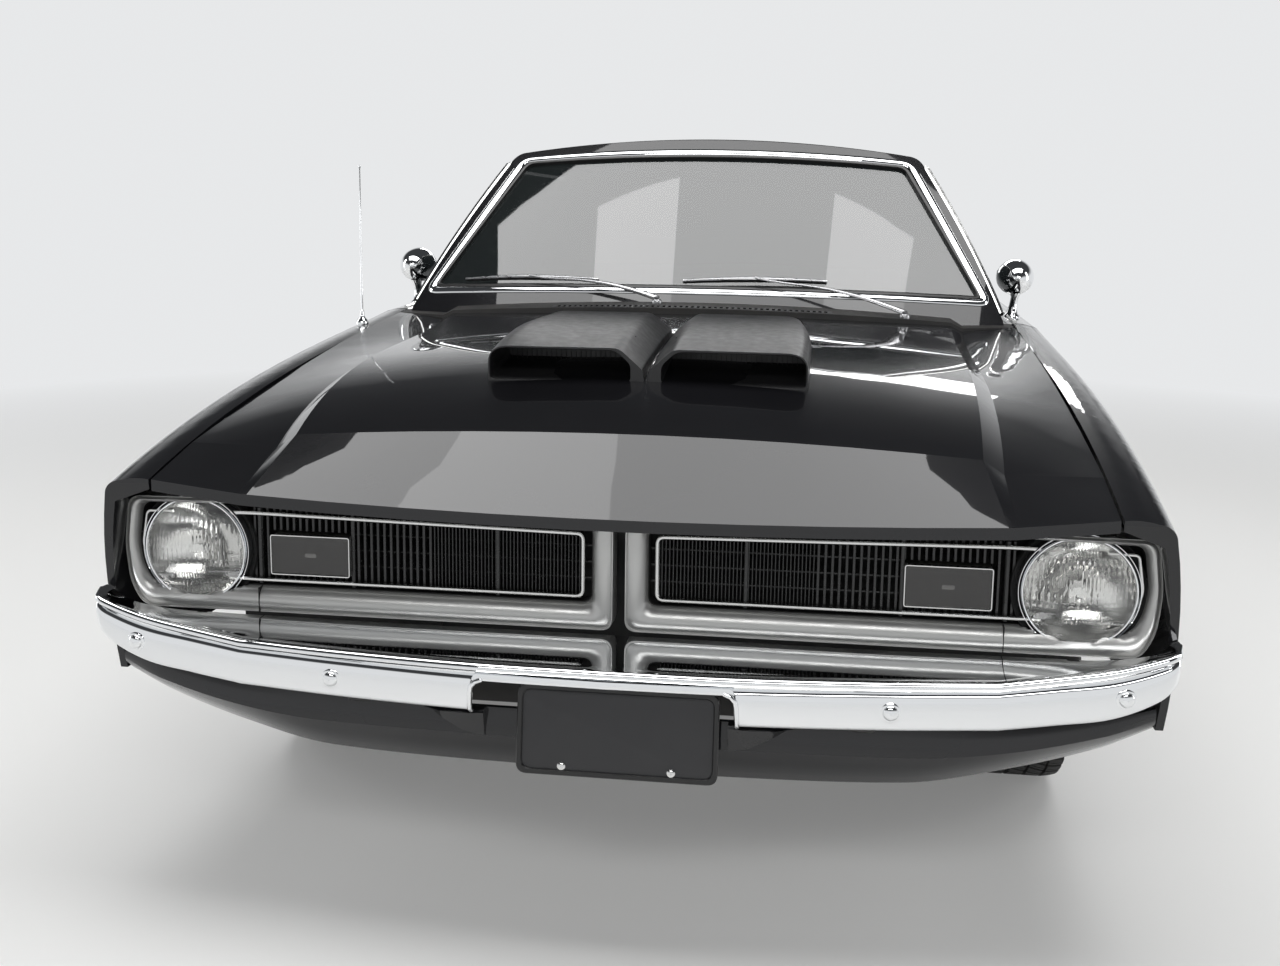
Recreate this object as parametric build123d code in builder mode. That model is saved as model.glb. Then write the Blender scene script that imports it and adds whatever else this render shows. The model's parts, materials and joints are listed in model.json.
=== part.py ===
from build123d import *
import math
import os

# Two-door compact fastback coupe of the early 1970s, in millimetres.
# +Z is up, the front points to -Y, the driver's side is +X, and the ground is Z = 0.

# Driving dimensions
half_width = 909
height = 1400
wheelbase = 2743
front_overhang = 925
rear_overhang = 1222
axle_to_door = 696
door_length = 1261
hinge_gap = 9
panel_gap = 5
seat_gap = 0.3
plate_wall = 8

front_axle_y = -1520
rear_axle_y = front_axle_y + wheelbase
bumper_front_y = front_axle_y - front_overhang
bumper_rear_y = rear_axle_y + rear_overhang
nose_y = bumper_front_y + 118
grille_y = bumper_front_y + 190
tail_y = bumper_rear_y - 115
door_front_y = front_axle_y + axle_to_door
door_rear_y = door_front_y + door_length
fender_rear_y = door_front_y - hinge_gap
quarter_front_y = door_rear_y + hinge_gap

# Body side
sill_z = 215
mid_z = 620
door_bottom_z = 290
shoulder_roll = 28
top_crown = 3
fender_wall = 16
quarter_wall = 100
top_wall = 18
door_inner_x = half_width - 109
arch_r = 365
fender_lower_z = 385

# Columns: y, then how far sill, middle, shoulder and deck edge lie inside
# the half width, with the heights of shoulder and deck edge.
# y, sill_in, mid_in, shoulder_in, shoulder_z, deck_in, deck_z
side_rows = [
    (nose_y, 47, 7, 22, 716, 104, 742),
    (nose_y + 180, 41, 4, 20, 755, 102, 781),
    (front_axle_y, 37, 1, 17, 838, 95, 862),
    (door_front_y, 37, 0, 19, 888, 94, 916),
    ((door_front_y + door_rear_y) / 2, 37, 0, 21, 900, 94, 925),
    (door_rear_y, 37, 0, 22, 906, 95, 932),
    (rear_axle_y - 223, 37, 0, 20, 930, 112, 956),
    (rear_axle_y + 277, 43, 4, 32, 934, 200, 960),
    (tail_y, 69, 29, 62, 896, 250, 922),
]

# Hood and cowl
hood_wall = 20
hood_break_y = nose_y + 162
hood_rear_centre_y = door_front_y - 261
hood_rear_corner_y = door_front_y - 71
cowl_end_y = door_front_y + 24

# y, centre height, ridge x and z, foot x and z of the raised middle
hood_rows = [
    (nose_y, 707, 630, 723, 645, 724),
    (hood_break_y, 822, 604, 800, 640, 776),
    (nose_y + 377, 886, 616, 856, 652, 832),
    (nose_y + 877, 928, 632, 893, 664, 874),
    (hood_rear_corner_y - 105, 962, 645, 924, 675, 908),
    (cowl_end_y, 980, 652, 944, 682, 926),
]

# Greenhouse: the tunnel of side glass and roof, cut by two tilted cylinders
belt_z = 925
glass_line_z = 905
pillar_wall = 30
glass_inset = 8
glass_wall = 5
screen_base_y = door_front_y - 136
screen_base_z = 985
screen_top_y = door_front_y + 264
screen_top_z = height - 34
screen_r = 2750
backlight_top_y = rear_axle_y - 583
backlight_top_z = height - 26
backlight_end_y = rear_axle_y + 269
backlight_end_z = 968
backlight_r = 4200

# y, belt x, rail x, rail z, crown z
tunnel_rows = [
    (door_front_y - 326, half_width - 134, half_width - 349, height - 70, height - 24),
    (door_front_y + 324, half_width - 109, half_width - 321, height - 70, height - 8),
    (door_front_y + 924, half_width - 97, half_width - 309, height - 70, height),
    (rear_axle_y - 523, half_width - 103, half_width - 319, height - 94, height - 24),
    (rear_axle_y + 377, half_width - 174, half_width - 369, height - 210, height - 169),
]

# Wheels
tyre_r = 325
tyre_width = 235
rim_r = 190
front_wheel_x = half_width - 169
rear_wheel_x = half_width - 181
hub_r = 65
drum_r = 135
drum_depth = 55
spindle_r = 20
spindle_fit = 0.06
kingpin_x = front_wheel_x - 100
kingpin_r = 28
kingpin_low_z = 215
kingpin_high_z = 440
spoke_count = 5


def station(y):
    """The upright plane across the car at y, drawn in X and Z."""
    return Plane.XZ.offset(-y)


def read_rows(rows, y):
    """The columns of a table at y, on smooth curves through its rows."""
    last = len(rows) - 1

    def slope(row, column):
        low = max(row - 1, 0)
        high = min(row + 1, last)
        return (rows[high][column] - rows[low][column]) / (rows[high][0] - rows[low][0])

    row = 0
    while row < last - 1 and rows[row + 1][0] < y:
        row += 1
    span = rows[row + 1][0] - rows[row][0]
    t = (y - rows[row][0]) / span
    values = []
    for column in range(1, len(rows[0])):
        start = rows[row][column]
        end = rows[row + 1][column]
        pull_start = slope(row, column) * span
        pull_end = slope(row + 1, column) * span
        values.append(
            (2 * t**3 - 3 * t**2 + 1) * start
            + (t**3 - 2 * t**2 + t) * pull_start
            + (3 * t**2 - 2 * t**3) * end
            + (t**3 - t**2) * pull_end
        )
    return values


def side_points(y):
    """Outer points of the body side at y: sill, middle, shoulder, roll end, top middle and deck edge."""
    sill_in, mid_in, shoulder_in, shoulder_z, deck_in, deck_z = read_rows(side_rows, y)
    shoulder = (half_width - shoulder_in, shoulder_z)
    roll_end = (shoulder[0] - shoulder_roll, shoulder_z + shoulder_roll * 0.8)
    roll_mid = (shoulder[0] - shoulder_roll * 0.33, shoulder_z + shoulder_roll * 0.53)
    deck = (half_width - deck_in, deck_z)
    top_mid = ((roll_end[0] + deck[0]) / 2, (roll_end[1] + deck[1]) / 2 + top_crown)
    sill = (half_width - sill_in, sill_z)
    middle = (half_width - mid_in, mid_z)
    return sill, middle, shoulder, roll_mid, roll_end, top_mid, deck


def shift(point, dx, dz):
    """A point moved in its sketch."""
    return (point[0] + dx, point[1] + dz)


def skin_face(y, wall, top):
    """Closed section of a side panel at y, wall thick at the side and top thick above."""
    sill, middle, shoulder, roll_mid, roll_end, top_mid, deck = side_points(y)
    with BuildSketch(station(y)) as face:
        with BuildLine():
            ThreePointArc(sill, middle, shoulder)
            ThreePointArc(shoulder, roll_mid, roll_end)
            ThreePointArc(roll_end, top_mid, deck)
            Line(deck, shift(deck, 0, -top))
            Line(shift(deck, 0, -top), shift(shoulder, -wall, -top))
            ThreePointArc(shift(shoulder, -wall, -top), shift(middle, -wall, 0), shift(sill, -wall, 0))
            Line(shift(sill, -wall, 0), sill)
        make_face()
    return face.sketch


def door_face(y):
    """Closed section of the door at y, as thick as the whole door."""
    sill, middle, shoulder, roll_mid, roll_end, top_mid, deck = side_points(y)
    with BuildSketch(station(y)) as face:
        with BuildLine():
            ThreePointArc(sill, middle, shoulder)
            ThreePointArc(shoulder, roll_mid, roll_end)
            ThreePointArc(roll_end, top_mid, deck)
            Line(deck, (door_inner_x, deck[1] - 12))
            Line((door_inner_x, deck[1] - 12), (door_inner_x, sill_z))
            Line((door_inner_x, sill_z), sill)
        make_face()
    return face.sketch


def hood_face(y, raised, wall):
    """Closed section of hood or cowl at y, its top raised by a clearance."""
    centre_z, ridge_x, ridge_z, foot_x, foot_z = read_rows(hood_rows, y)
    deck = side_points(y)[-1]
    edge_x = deck[0] - panel_gap
    centre = (0, centre_z + raised)
    ridge = (ridge_x, ridge_z + raised)
    foot = (foot_x, foot_z + raised)
    edge = (edge_x, deck[1] + raised)
    low_centre = shift(centre, 0, -wall)
    low_ridge = shift(ridge, 0, -wall)
    low_foot = shift(foot, 0, -wall)
    low_edge = shift(edge, 0, -wall)

    def other(point):
        return (-point[0], point[1])

    with BuildSketch(station(y)) as face:
        with BuildLine():
            ThreePointArc(other(ridge), centre, ridge)
            Polyline(ridge, foot, edge, low_edge, low_foot, low_ridge)
            ThreePointArc(low_ridge, low_centre, other(low_ridge))
            Polyline(other(low_ridge), other(low_foot), other(low_edge), other(edge), other(foot), other(ridge))
        make_face()
    return face.sketch


def tunnel_face(y, inset, base_z):
    """Closed section of the greenhouse at y, shrunk by inset."""
    belt_x, rail_x, rail_z, crown_z = read_rows(tunnel_rows, y)
    belt = (belt_x - inset, belt_z)
    rail = (rail_x - inset, rail_z - inset)
    lean = (belt[0] - rail[0]) / (rail[1] - belt[1])
    base = (belt[0] + lean * (belt_z - base_z) * 0.4, base_z)
    bow = 12
    side_mid = ((belt[0] + rail[0]) / 2 + bow, (belt[1] + rail[1]) / 2)
    corner = (rail[0] - 45, rail[1] + 22)
    corner_mid = (rail[0] - 17, rail[1] + 15)
    crown = (0, crown_z - inset)

    def other(point):
        return (-point[0], point[1])

    with BuildSketch(station(y)) as face:
        with BuildLine():
            Line(base, belt)
            ThreePointArc(belt, side_mid, rail)
            ThreePointArc(rail, corner_mid, corner)
            ThreePointArc(corner, crown, other(corner))
            ThreePointArc(other(corner), other(corner_mid), other(rail))
            ThreePointArc(other(rail), other(side_mid), other(belt))
            Line(other(belt), other(base))
            Line(other(base), base)
        make_face()
    return face.sketch


# Planes of the windscreen and of the rear window, both along the glass
screen_lean = math.degrees(math.atan2(screen_top_z - screen_base_z, screen_top_y - screen_base_y))
screen_plane = Plane(
    origin=(0, screen_base_y, screen_base_z),
    x_dir=(1, 0, 0),
    z_dir=(0, -math.sin(math.radians(screen_lean)), math.cos(math.radians(screen_lean))),
)
screen_length = math.hypot(screen_top_z - screen_base_z, screen_top_y - screen_base_y)
backlight_lean = math.degrees(
    math.atan2(backlight_top_z - backlight_end_z, backlight_end_y - backlight_top_y)
)
backlight_plane = Plane(
    origin=(0, backlight_top_y, backlight_top_z),
    x_dir=(1, 0, 0),
    z_dir=(0, math.sin(math.radians(backlight_lean)), math.cos(math.radians(backlight_lean))),
)
backlight_length = math.hypot(backlight_top_z - backlight_end_z, backlight_end_y - backlight_top_y)
glass_reach = 6000


def glass_drum(plane, radius, inset):
    """The space under a curved glass: a long cylinder whose surface holds the glass."""
    axis_plane = Plane(
        origin=plane.origin - plane.z_dir * radius - plane.y_dir * glass_reach / 2,
        x_dir=plane.x_dir,
        z_dir=plane.y_dir,
    )
    with BuildPart() as drum:
        with BuildSketch(axis_plane):
            Circle(radius - inset)
        extrude(amount=glass_reach)
    return drum.part


def greenhouse(inset, base_z):
    """The closed volume of the greenhouse, shrunk by inset, from base_z up."""
    with BuildPart() as volume:
        loft([tunnel_face(row[0], inset, base_z) for row in tunnel_rows])
        add(glass_drum(screen_plane, screen_r, inset), mode=Mode.INTERSECT)
        add(glass_drum(backlight_plane, backlight_r, inset), mode=Mode.INTERSECT)
        with BuildSketch(Plane.XY.offset(base_z)):
            with Locations((0, backlight_end_y - inset - 1500)):
                Rectangle(2000, 3000)
        extrude(amount=600, mode=Mode.INTERSECT)
    return volume.part


def side_prism(points, low_x, high_x):
    """A prism across the car with an outline given in Y and Z."""
    with BuildPart() as prism:
        with BuildSketch(Plane.YZ.offset(low_x)):
            with BuildLine():
                Polyline(*points, close=True)
            make_face()
        extrude(amount=high_x - low_x)
    return prism.part


def save(piece, name):
    """Label a finished piece and write it."""
    piece.part.label = name
    export_step(piece.part, f"parts/{name}.step")


os.makedirs("parts", exist_ok=True)

# Outer and inner volumes of the greenhouse, used by its neighbours
cabin_outer = greenhouse(-seat_gap, glass_line_z)

# Front fenders: skin from nose to door, with the wheel arch
fender_rise = math.sqrt(arch_r**2 - (fender_lower_z - tyre_r) ** 2)
fender_drop = math.sqrt(arch_r**2 - (tyre_r - sill_z) ** 2)
with BuildPart() as front_fenders:
    loft([skin_face(y, fender_wall, top_wall) for y in (nose_y, nose_y + 180, front_axle_y, fender_rear_y)])
    with BuildSketch(Plane.YZ.offset(half_width - 409)):
        with BuildLine():
            Polyline(
                (front_axle_y + fender_drop, sill_z),
                (fender_rear_y, sill_z),
                (fender_rear_y, height),
                (nose_y, height),
                (nose_y, 735),
                (nose_y + 42, 500),
                (nose_y + 50, fender_lower_z),
                (front_axle_y - fender_rise, fender_lower_z),
            )
            ThreePointArc(
                (front_axle_y - fender_rise, fender_lower_z),
                (front_axle_y, tyre_r + arch_r),
                (front_axle_y + fender_drop, sill_z),
            )
        make_face()
    extrude(amount=600, mode=Mode.INTERSECT)
    mirror(about=Plane.YZ)
save(front_fenders, "front_fenders")

# Doors: one thick closed panel each, with a slot for the glass
door_y = (door_front_y, (door_front_y + door_rear_y) / 2, door_rear_y)
glass_slot_z = glass_line_z - 12
with BuildPart() as glass_skin:
    add(greenhouse(glass_inset, glass_slot_z))
    add(greenhouse(glass_inset + glass_wall, glass_slot_z - 1), mode=Mode.SUBTRACT)
with BuildPart() as slot_skin:
    add(greenhouse(glass_inset - seat_gap, glass_slot_z - seat_gap))
    add(greenhouse(glass_inset + glass_wall + seat_gap, glass_slot_z - 2), mode=Mode.SUBTRACT)

# Outline of the side window in Y and Z, from the screen pillar to the sail panel
window_top_z = height - 100
window_top_fall = 12
post_width = 20
window_front_low_y = door_front_y + 26
window_front_top_y = door_front_y + 346
window_rear_top_y = rear_axle_y - 633
window_rear_low_y = rear_axle_y - 377


def window_top(y):
    """Height of the side window's top edge at y."""
    share = (y - window_front_top_y) / (window_rear_top_y - window_front_top_y)
    return window_top_z - share * window_top_fall


def door_window(margin, rear_y, base_z):
    """Outline of the door's window, drawn in by a margin at the front and top."""
    return [
        (window_front_low_y + margin, base_z),
        (window_front_low_y + margin, belt_z),
        (window_front_top_y + margin, window_top_z - margin),
        (rear_y, window_top(rear_y) - margin),
        (rear_y, base_z),
    ]


def quarter_window(margin, base_z):
    """Outline of the rear side window, drawn in by a margin."""
    front_y = quarter_front_y + post_width + margin
    return [
        (front_y, base_z),
        (front_y, window_top(front_y) - margin),
        (window_rear_top_y - margin, window_top_z - window_top_fall - margin),
        (window_rear_low_y - margin, belt_z + 18),
        (window_rear_low_y - margin, base_z),
    ]


with BuildPart() as door_glass_left:
    add(glass_skin.part)
    add(side_prism(door_window(panel_gap, door_rear_y - 2, glass_slot_z), 400, 1000), mode=Mode.INTERSECT)
save(door_glass_left, "door_glass_left")
with BuildPart() as door_glass_right:
    mirror(door_glass_left.part, about=Plane.YZ)
save(door_glass_right, "door_glass_right")

with BuildPart() as door_left:
    loft([door_face(y) for y in door_y])
    with BuildSketch(Plane.XY):
        with Locations((half_width, (door_front_y + door_rear_y) / 2)):
            Rectangle(600, 2 * door_length)
    extrude(amount=door_bottom_z, mode=Mode.SUBTRACT)
    add(slot_skin.part, mode=Mode.SUBTRACT)
save(door_left, "door_left")
with BuildPart() as door_right:
    mirror(door_left.part, about=Plane.YZ)
save(door_right, "door_right")

# Rear quarter panels with wheel arch, cut clear of the greenhouse
quarter_arch_r = arch_r + plate_wall + seat_gap
tail_end_y = tail_y - 45
lid_middle_y = (backlight_end_y + tail_y) / 2
quarter_low_z = 330
quarter_drop = math.sqrt(quarter_arch_r**2 - (tyre_r - sill_z) ** 2)
quarter_rise = math.sqrt(quarter_arch_r**2 - (quarter_low_z - tyre_r) ** 2)
with BuildPart() as quarter_panels:
    loft(
        [
            skin_face(y, quarter_wall, top_wall)
            for y in (quarter_front_y, rear_axle_y - 223, rear_axle_y + 277, lid_middle_y, tail_end_y)
        ]
    )
    with BuildSketch(Plane.YZ.offset(500)):
        with BuildLine():
            Polyline(
                (rear_axle_y - quarter_drop, sill_z),
                (quarter_front_y, sill_z),
                (quarter_front_y, height),
                (tail_y, height),
                (tail_y, quarter_low_z + 60),
                (rear_axle_y + quarter_rise + 120, quarter_low_z),
                (rear_axle_y + quarter_rise, quarter_low_z),
            )
            ThreePointArc(
                (rear_axle_y + quarter_rise, quarter_low_z),
                (rear_axle_y, tyre_r + quarter_arch_r),
                (rear_axle_y - quarter_drop, sill_z),
            )
        make_face()
    extrude(amount=600, mode=Mode.INTERSECT)
    add(cabin_outer, mode=Mode.SUBTRACT)

# Sills under the doors, welded to the quarter panels on the real car
sill_inner_x = half_width - 139
sill_outer_x = half_width - 44
with BuildPart() as sills:
    loft([skin_face(y, 10, top_wall) for y in (fender_rear_y + seat_gap, (door_front_y + door_rear_y) / 2,
                                               quarter_front_y - seat_gap)])
    with BuildSketch(Plane.XY.offset(sill_z)):
        with Locations((half_width, (door_front_y + door_rear_y) / 2)):
            Rectangle(600, 2 * door_length)
    extrude(amount=door_bottom_z - panel_gap - sill_z, mode=Mode.INTERSECT)
    with BuildSketch(Plane.XY.offset(sill_z)):
        with Locations(((sill_inner_x + sill_outer_x) / 2, (fender_rear_y + quarter_front_y) / 2)):
            Rectangle(sill_outer_x - sill_inner_x, quarter_front_y - fender_rear_y - 2 * seat_gap)
    extrude(amount=door_bottom_z - panel_gap - sill_z)
with BuildPart() as quarter_sides:
    add(quarter_panels.part)
    add(sills.part)
    mirror(about=Plane.YZ)
save(quarter_sides, "quarter_panels")

# Roof: the greenhouse shell with the openings of screen, rear window and sides
screen_low_side_x = half_width - 167
screen_top_side_x = half_width - 363


def screen_opening(margin):
    """Prism through the windscreen opening, drawn in by a margin."""
    with BuildPart() as opening:
        with BuildSketch(screen_plane.offset(120)):
            with BuildLine():
                low = (screen_low_side_x, 92)
                top = (screen_top_side_x, screen_length - 2)
                ThreePointArc((-low[0], low[1]), (0, 16), low)
                Line(low, top)
                ThreePointArc(top, (0, screen_length - 24), (-top[0], top[1]))
                Line((-top[0], top[1]), (-low[0], low[1]))
            make_face()
            offset(amount=-margin)
        extrude(amount=-500)
    return opening.part


def backlight_opening(margin):
    """Prism through the rear window opening, drawn in by a margin."""
    with BuildPart() as opening:
        with BuildSketch(backlight_plane.offset(80)):
            with BuildLine():
                high = (half_width - 404, -40)
                low = (half_width - 349, -backlight_length + 150)
                ThreePointArc((-high[0], high[1]), (0, -22), high)
                Line(high, low)
                ThreePointArc(low, (0, -backlight_length + 70), (-low[0], low[1]))
                Line((-low[0], low[1]), (-high[0], high[1]))
            make_face()
            offset(amount=-margin)
        extrude(amount=-320)
    return opening.part


with BuildPart() as roof:
    add(greenhouse(0, glass_line_z))
    add(greenhouse(pillar_wall, glass_line_z - 1), mode=Mode.SUBTRACT)
    add(screen_opening(0), mode=Mode.SUBTRACT)
    add(backlight_opening(0), mode=Mode.SUBTRACT)
    add(side_prism(door_window(0, quarter_front_y, 800), -1200, 1200), mode=Mode.SUBTRACT)
    add(side_prism(quarter_window(0, 800), -1200, 1200), mode=Mode.SUBTRACT)
save(roof, "roof")

# Fixed glass: windscreen, rear window and two rear side windows
with BuildPart() as fixed_skin:
    add(greenhouse(glass_inset, glass_line_z + seat_gap))
    add(greenhouse(glass_inset + glass_wall, glass_line_z - 1), mode=Mode.SUBTRACT)
with BuildPart() as windscreen:
    add(fixed_skin.part)
    add(screen_opening(seat_gap), mode=Mode.INTERSECT)
with BuildPart() as rear_window:
    add(fixed_skin.part)
    add(backlight_opening(seat_gap), mode=Mode.INTERSECT)
with BuildPart() as side_window:
    add(fixed_skin.part)
    add(side_prism(quarter_window(seat_gap, glass_line_z), 400, 1000), mode=Mode.INTERSECT)
with BuildPart() as fixed_glass:
    add(windscreen.part)
    add(rear_window.part)
    add(side_window.part)
    mirror(side_window.part, about=Plane.YZ)
save(fixed_glass, "fixed_glass")


def hood_body(raised, wall):
    """The hood's closed volume, its top raised by a clearance and wall thick."""
    with BuildPart() as body:
        loft([hood_face(y, raised, wall) for y in (nose_y, hood_break_y)], ruled=True)
        loft([hood_face(y, raised, wall) for y in
              (hood_break_y, nose_y + 377, nose_y + 877, hood_rear_corner_y + 40)])
        with BuildSketch(Plane.XY.offset(400)):
            with BuildLine():
                ThreePointArc(
                    (-half_width, hood_rear_corner_y + 46),
                    (0, hood_rear_centre_y),
                    (half_width, hood_rear_corner_y + 46),
                )
                Polyline(
                    (half_width, hood_rear_corner_y + 46),
                    (half_width, nose_y),
                    (-half_width, nose_y),
                    (-half_width, hood_rear_corner_y + 46),
                )
            make_face()
        extrude(amount=1000, mode=Mode.INTERSECT)
    return body.part


with BuildPart() as hood:
    add(hood_body(0, hood_wall))
save(hood, "hood")

# Hood scoop: two mouths side by side with a valley between them
scoop_front_y = nose_y + 377
scoop_length = 482
mouth_depth = 200
# y, outer x, top z, shoulder drop, valley z
scoop_rows = [
    (scoop_front_y, 306, 947, 14, 902),
    (scoop_front_y + 190, 306, 968, 16, 925),
    (scoop_front_y + scoop_length, 285, 974, 20, 938),
]


def scoop_face(row):
    """Closed section of the scoop at one row."""
    y, outer_x, top_z, drop, valley_z = row

    def other(point):
        return (-point[0], point[1])

    foot = (outer_x, 820)
    side = (outer_x - 3, top_z - drop - 12)
    shoulder = (outer_x - 24, top_z - 2)
    bend = (outer_x - 9, top_z - drop * 0.4 - 2)
    inner_top = (46, top_z + 2)
    valley = (9, valley_z)
    with BuildSketch(station(y)) as face:
        with BuildLine():
            Line(foot, side)
            ThreePointArc(side, bend, shoulder)
            Polyline(shoulder, inner_top, valley, other(valley), other(inner_top), other(shoulder))
            ThreePointArc(other(shoulder), other(bend), other(side))
            Polyline(other(side), other(foot), foot)
        make_face()
    return face.sketch


with BuildPart() as hood_scoop:
    loft([scoop_face(row) for row in scoop_rows], ruled=True)
    with BuildSketch(station(scoop_front_y)):
        with Locations((-168, 917), (168, 917)):
            RectangleRounded(254, 40, 16)
    extrude(amount=-mouth_depth, mode=Mode.SUBTRACT)
    add(hood_body(seat_gap, 130), mode=Mode.SUBTRACT)
save(hood_scoop, "hood_scoop")

# Trunk lid and the deck panel ahead of it
lid_front_y = backlight_end_y + panel_gap
lid_rear_y = tail_y - 8
lid_wall = 25
lid_crown = 14
deck_seam = 3


def lid_face(y, gap, wall=lid_wall):
    """Closed section of the rear deck at y, with a gap to the quarter panels."""
    deck = side_points(y)[-1]
    edge = (deck[0] - gap, deck[1])
    centre = (0, deck[1] + lid_crown)

    def other(point):
        return (-point[0], point[1])

    with BuildSketch(station(y)) as face:
        with BuildLine():
            ThreePointArc(other(edge), centre, edge)
            Line(edge, shift(edge, 0, -wall))
            ThreePointArc(shift(edge, 0, -wall), shift(centre, 0, -wall), shift(other(edge), 0, -wall))
            Line(shift(other(edge), 0, -wall), other(edge))
        make_face()
    return face.sketch


with BuildPart() as trunk_lid:
    loft([lid_face(y, panel_gap) for y in (lid_front_y, lid_middle_y, lid_rear_y)])
save(trunk_lid, "trunk_lid")

# Tail panel, the full width across, with the lid's sill cut in
tail_low_z = 400
tail_face_y = tail_y
lid_sill_z = 884
lid_stop_x = (-480, 480)


def tail_face(y):
    """Full section of the tail at y, both sides and the deck edges."""
    sill, middle, shoulder, roll_mid, roll_end, top_mid, deck = side_points(y)

    def other(point):
        return (-point[0], point[1])

    with BuildSketch(station(y)) as face:
        with BuildLine():
            ThreePointArc(sill, middle, shoulder)
            ThreePointArc(shoulder, roll_mid, roll_end)
            ThreePointArc(roll_end, top_mid, deck)
            Polyline(deck, (deck[0], lid_sill_z), (-deck[0], lid_sill_z), other(deck))
            ThreePointArc(other(deck), other(top_mid), other(roll_end))
            ThreePointArc(other(roll_end), other(roll_mid), other(shoulder))
            ThreePointArc(other(shoulder), other(middle), other(sill))
            Line(other(sill), sill)
        make_face()
    return face.sketch


with BuildPart() as tail_panel:
    loft([tail_face(y) for y in (tail_end_y + seat_gap, tail_face_y)], ruled=True)
    with BuildSketch(Plane.XY.offset(tail_low_z)):
        with Locations((0, tail_y)):
            Rectangle(2000, 400)
    extrude(amount=700, mode=Mode.INTERSECT)
    for x in lid_stop_x:
        with BuildSketch(Plane.XY.offset(lid_sill_z - 1)):
            with Locations((x, tail_y - 25)):
                Circle(10)
        extrude(amount=22)
    loft([lid_face(y, panel_gap, lid_wall + seat_gap) for y in (lid_front_y, lid_middle_y, lid_rear_y)],
         mode=Mode.SUBTRACT)
with BuildPart() as rear_deck:
    loft([lid_face(y, deck_seam) for y in (rear_axle_y + 60, rear_axle_y + 165, backlight_end_y)])
    add(cabin_outer, mode=Mode.SUBTRACT)
with BuildPart() as rear_panels:
    add(tail_panel.part)
    add(rear_deck.part)
save(rear_panels, "rear_panels")

# Tail lamps: two slots one above the other on each side
tail_lamp_length = 380
tail_lamp_height = 34
tail_lamp_x = 520
tail_lamp_z = (706, 772)
with BuildPart() as tail_lamps:
    with BuildSketch(Plane.XZ.offset(-tail_face_y - seat_gap)):
        with Locations(*[(side * tail_lamp_x, z) for side in (-1, 1) for z in tail_lamp_z]):
            RectangleRounded(tail_lamp_length, tail_lamp_height, 8)
    extrude(amount=-14)
save(tail_lamps, "tail_lamps")


def wall_box(low, high):
    """A box between two corners."""
    with BuildPart() as box:
        with Locations(tuple((low[i] + high[i]) / 2 for i in range(3))):
            Box(*[high[i] - low[i] for i in range(3)])
    return box.part


# Front structure: cowl, firewall, hinge pillars, aprons, rails and radiator support
firewall_y = door_front_y - 161
firewall_half = half_width - 174
tunnel_z = 400
firewall_wall = 15
pillar_outer_x = half_width - 59.3
apron_x = 440
apron_wall = 15
apron_top_z = 672
support_y = grille_y + 65
rail_z = (300, 370)
rail_x = (385, apron_x)
cowl_gap = 6
plenum_y = hood_rear_centre_y + 12
bezel_front = 6
bezel_depth = 42
bezel_back_y = grille_y - bezel_front + bezel_depth
bar_depth = 14
grille_back_y = bezel_back_y + seat_gap + bar_depth
hinge_z = (340, 680)
hinge_height = 80
hinge_leaf_x = (door_inner_x + 6, half_width - 63)
stop_x = 420
stop_width = 30
support_wall = 12
stop_top_z = read_rows(hood_rows, support_y)[0] - hood_wall
vent_x = (-366, 349)
vent_gap_y = 8
vent_reach = 34
vent_wall = 3
vent_lip = 5
slot_pitch = 14.5
slot_width = 8
slot_length = 24


def hood_rear_y(x):
    """Where the hood's rear edge lies at x: an arc through its middle and its two corners."""
    rise = hood_rear_corner_y + 46 - hood_rear_centre_y
    radius = (half_width**2 + rise**2) / (2 * rise)
    return hood_rear_centre_y + radius - math.sqrt(radius**2 - x**2)


def vent_strip(margin, depth):
    """The strip of the cowl behind the hood that holds the vent, drawn in by a margin."""
    low_x, high_x = vent_x[0] + margin, vent_x[1] - margin
    ahead = cowl_gap + vent_gap_y + margin
    behind = cowl_gap + vent_gap_y + vent_reach - margin
    middle = (low_x + high_x) / 2
    with BuildPart() as strip:
        loft([hood_face(y, 1, depth) for y in (hood_rear_centre_y - 20, screen_base_y)])
        with BuildSketch(Plane.XY.offset(400)):
            with BuildLine():
                ThreePointArc(
                    (low_x, hood_rear_y(low_x) + ahead),
                    (middle, hood_rear_y(middle) + ahead),
                    (high_x, hood_rear_y(high_x) + ahead),
                )
                Line((high_x, hood_rear_y(high_x) + ahead), (high_x, hood_rear_y(high_x) + behind))
                ThreePointArc(
                    (high_x, hood_rear_y(high_x) + behind),
                    (middle, hood_rear_y(middle) + behind),
                    (low_x, hood_rear_y(low_x) + behind),
                )
                Line((low_x, hood_rear_y(low_x) + behind), (low_x, hood_rear_y(low_x) + ahead))
            make_face()
        extrude(amount=1000, mode=Mode.INTERSECT)
    return strip.part


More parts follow.
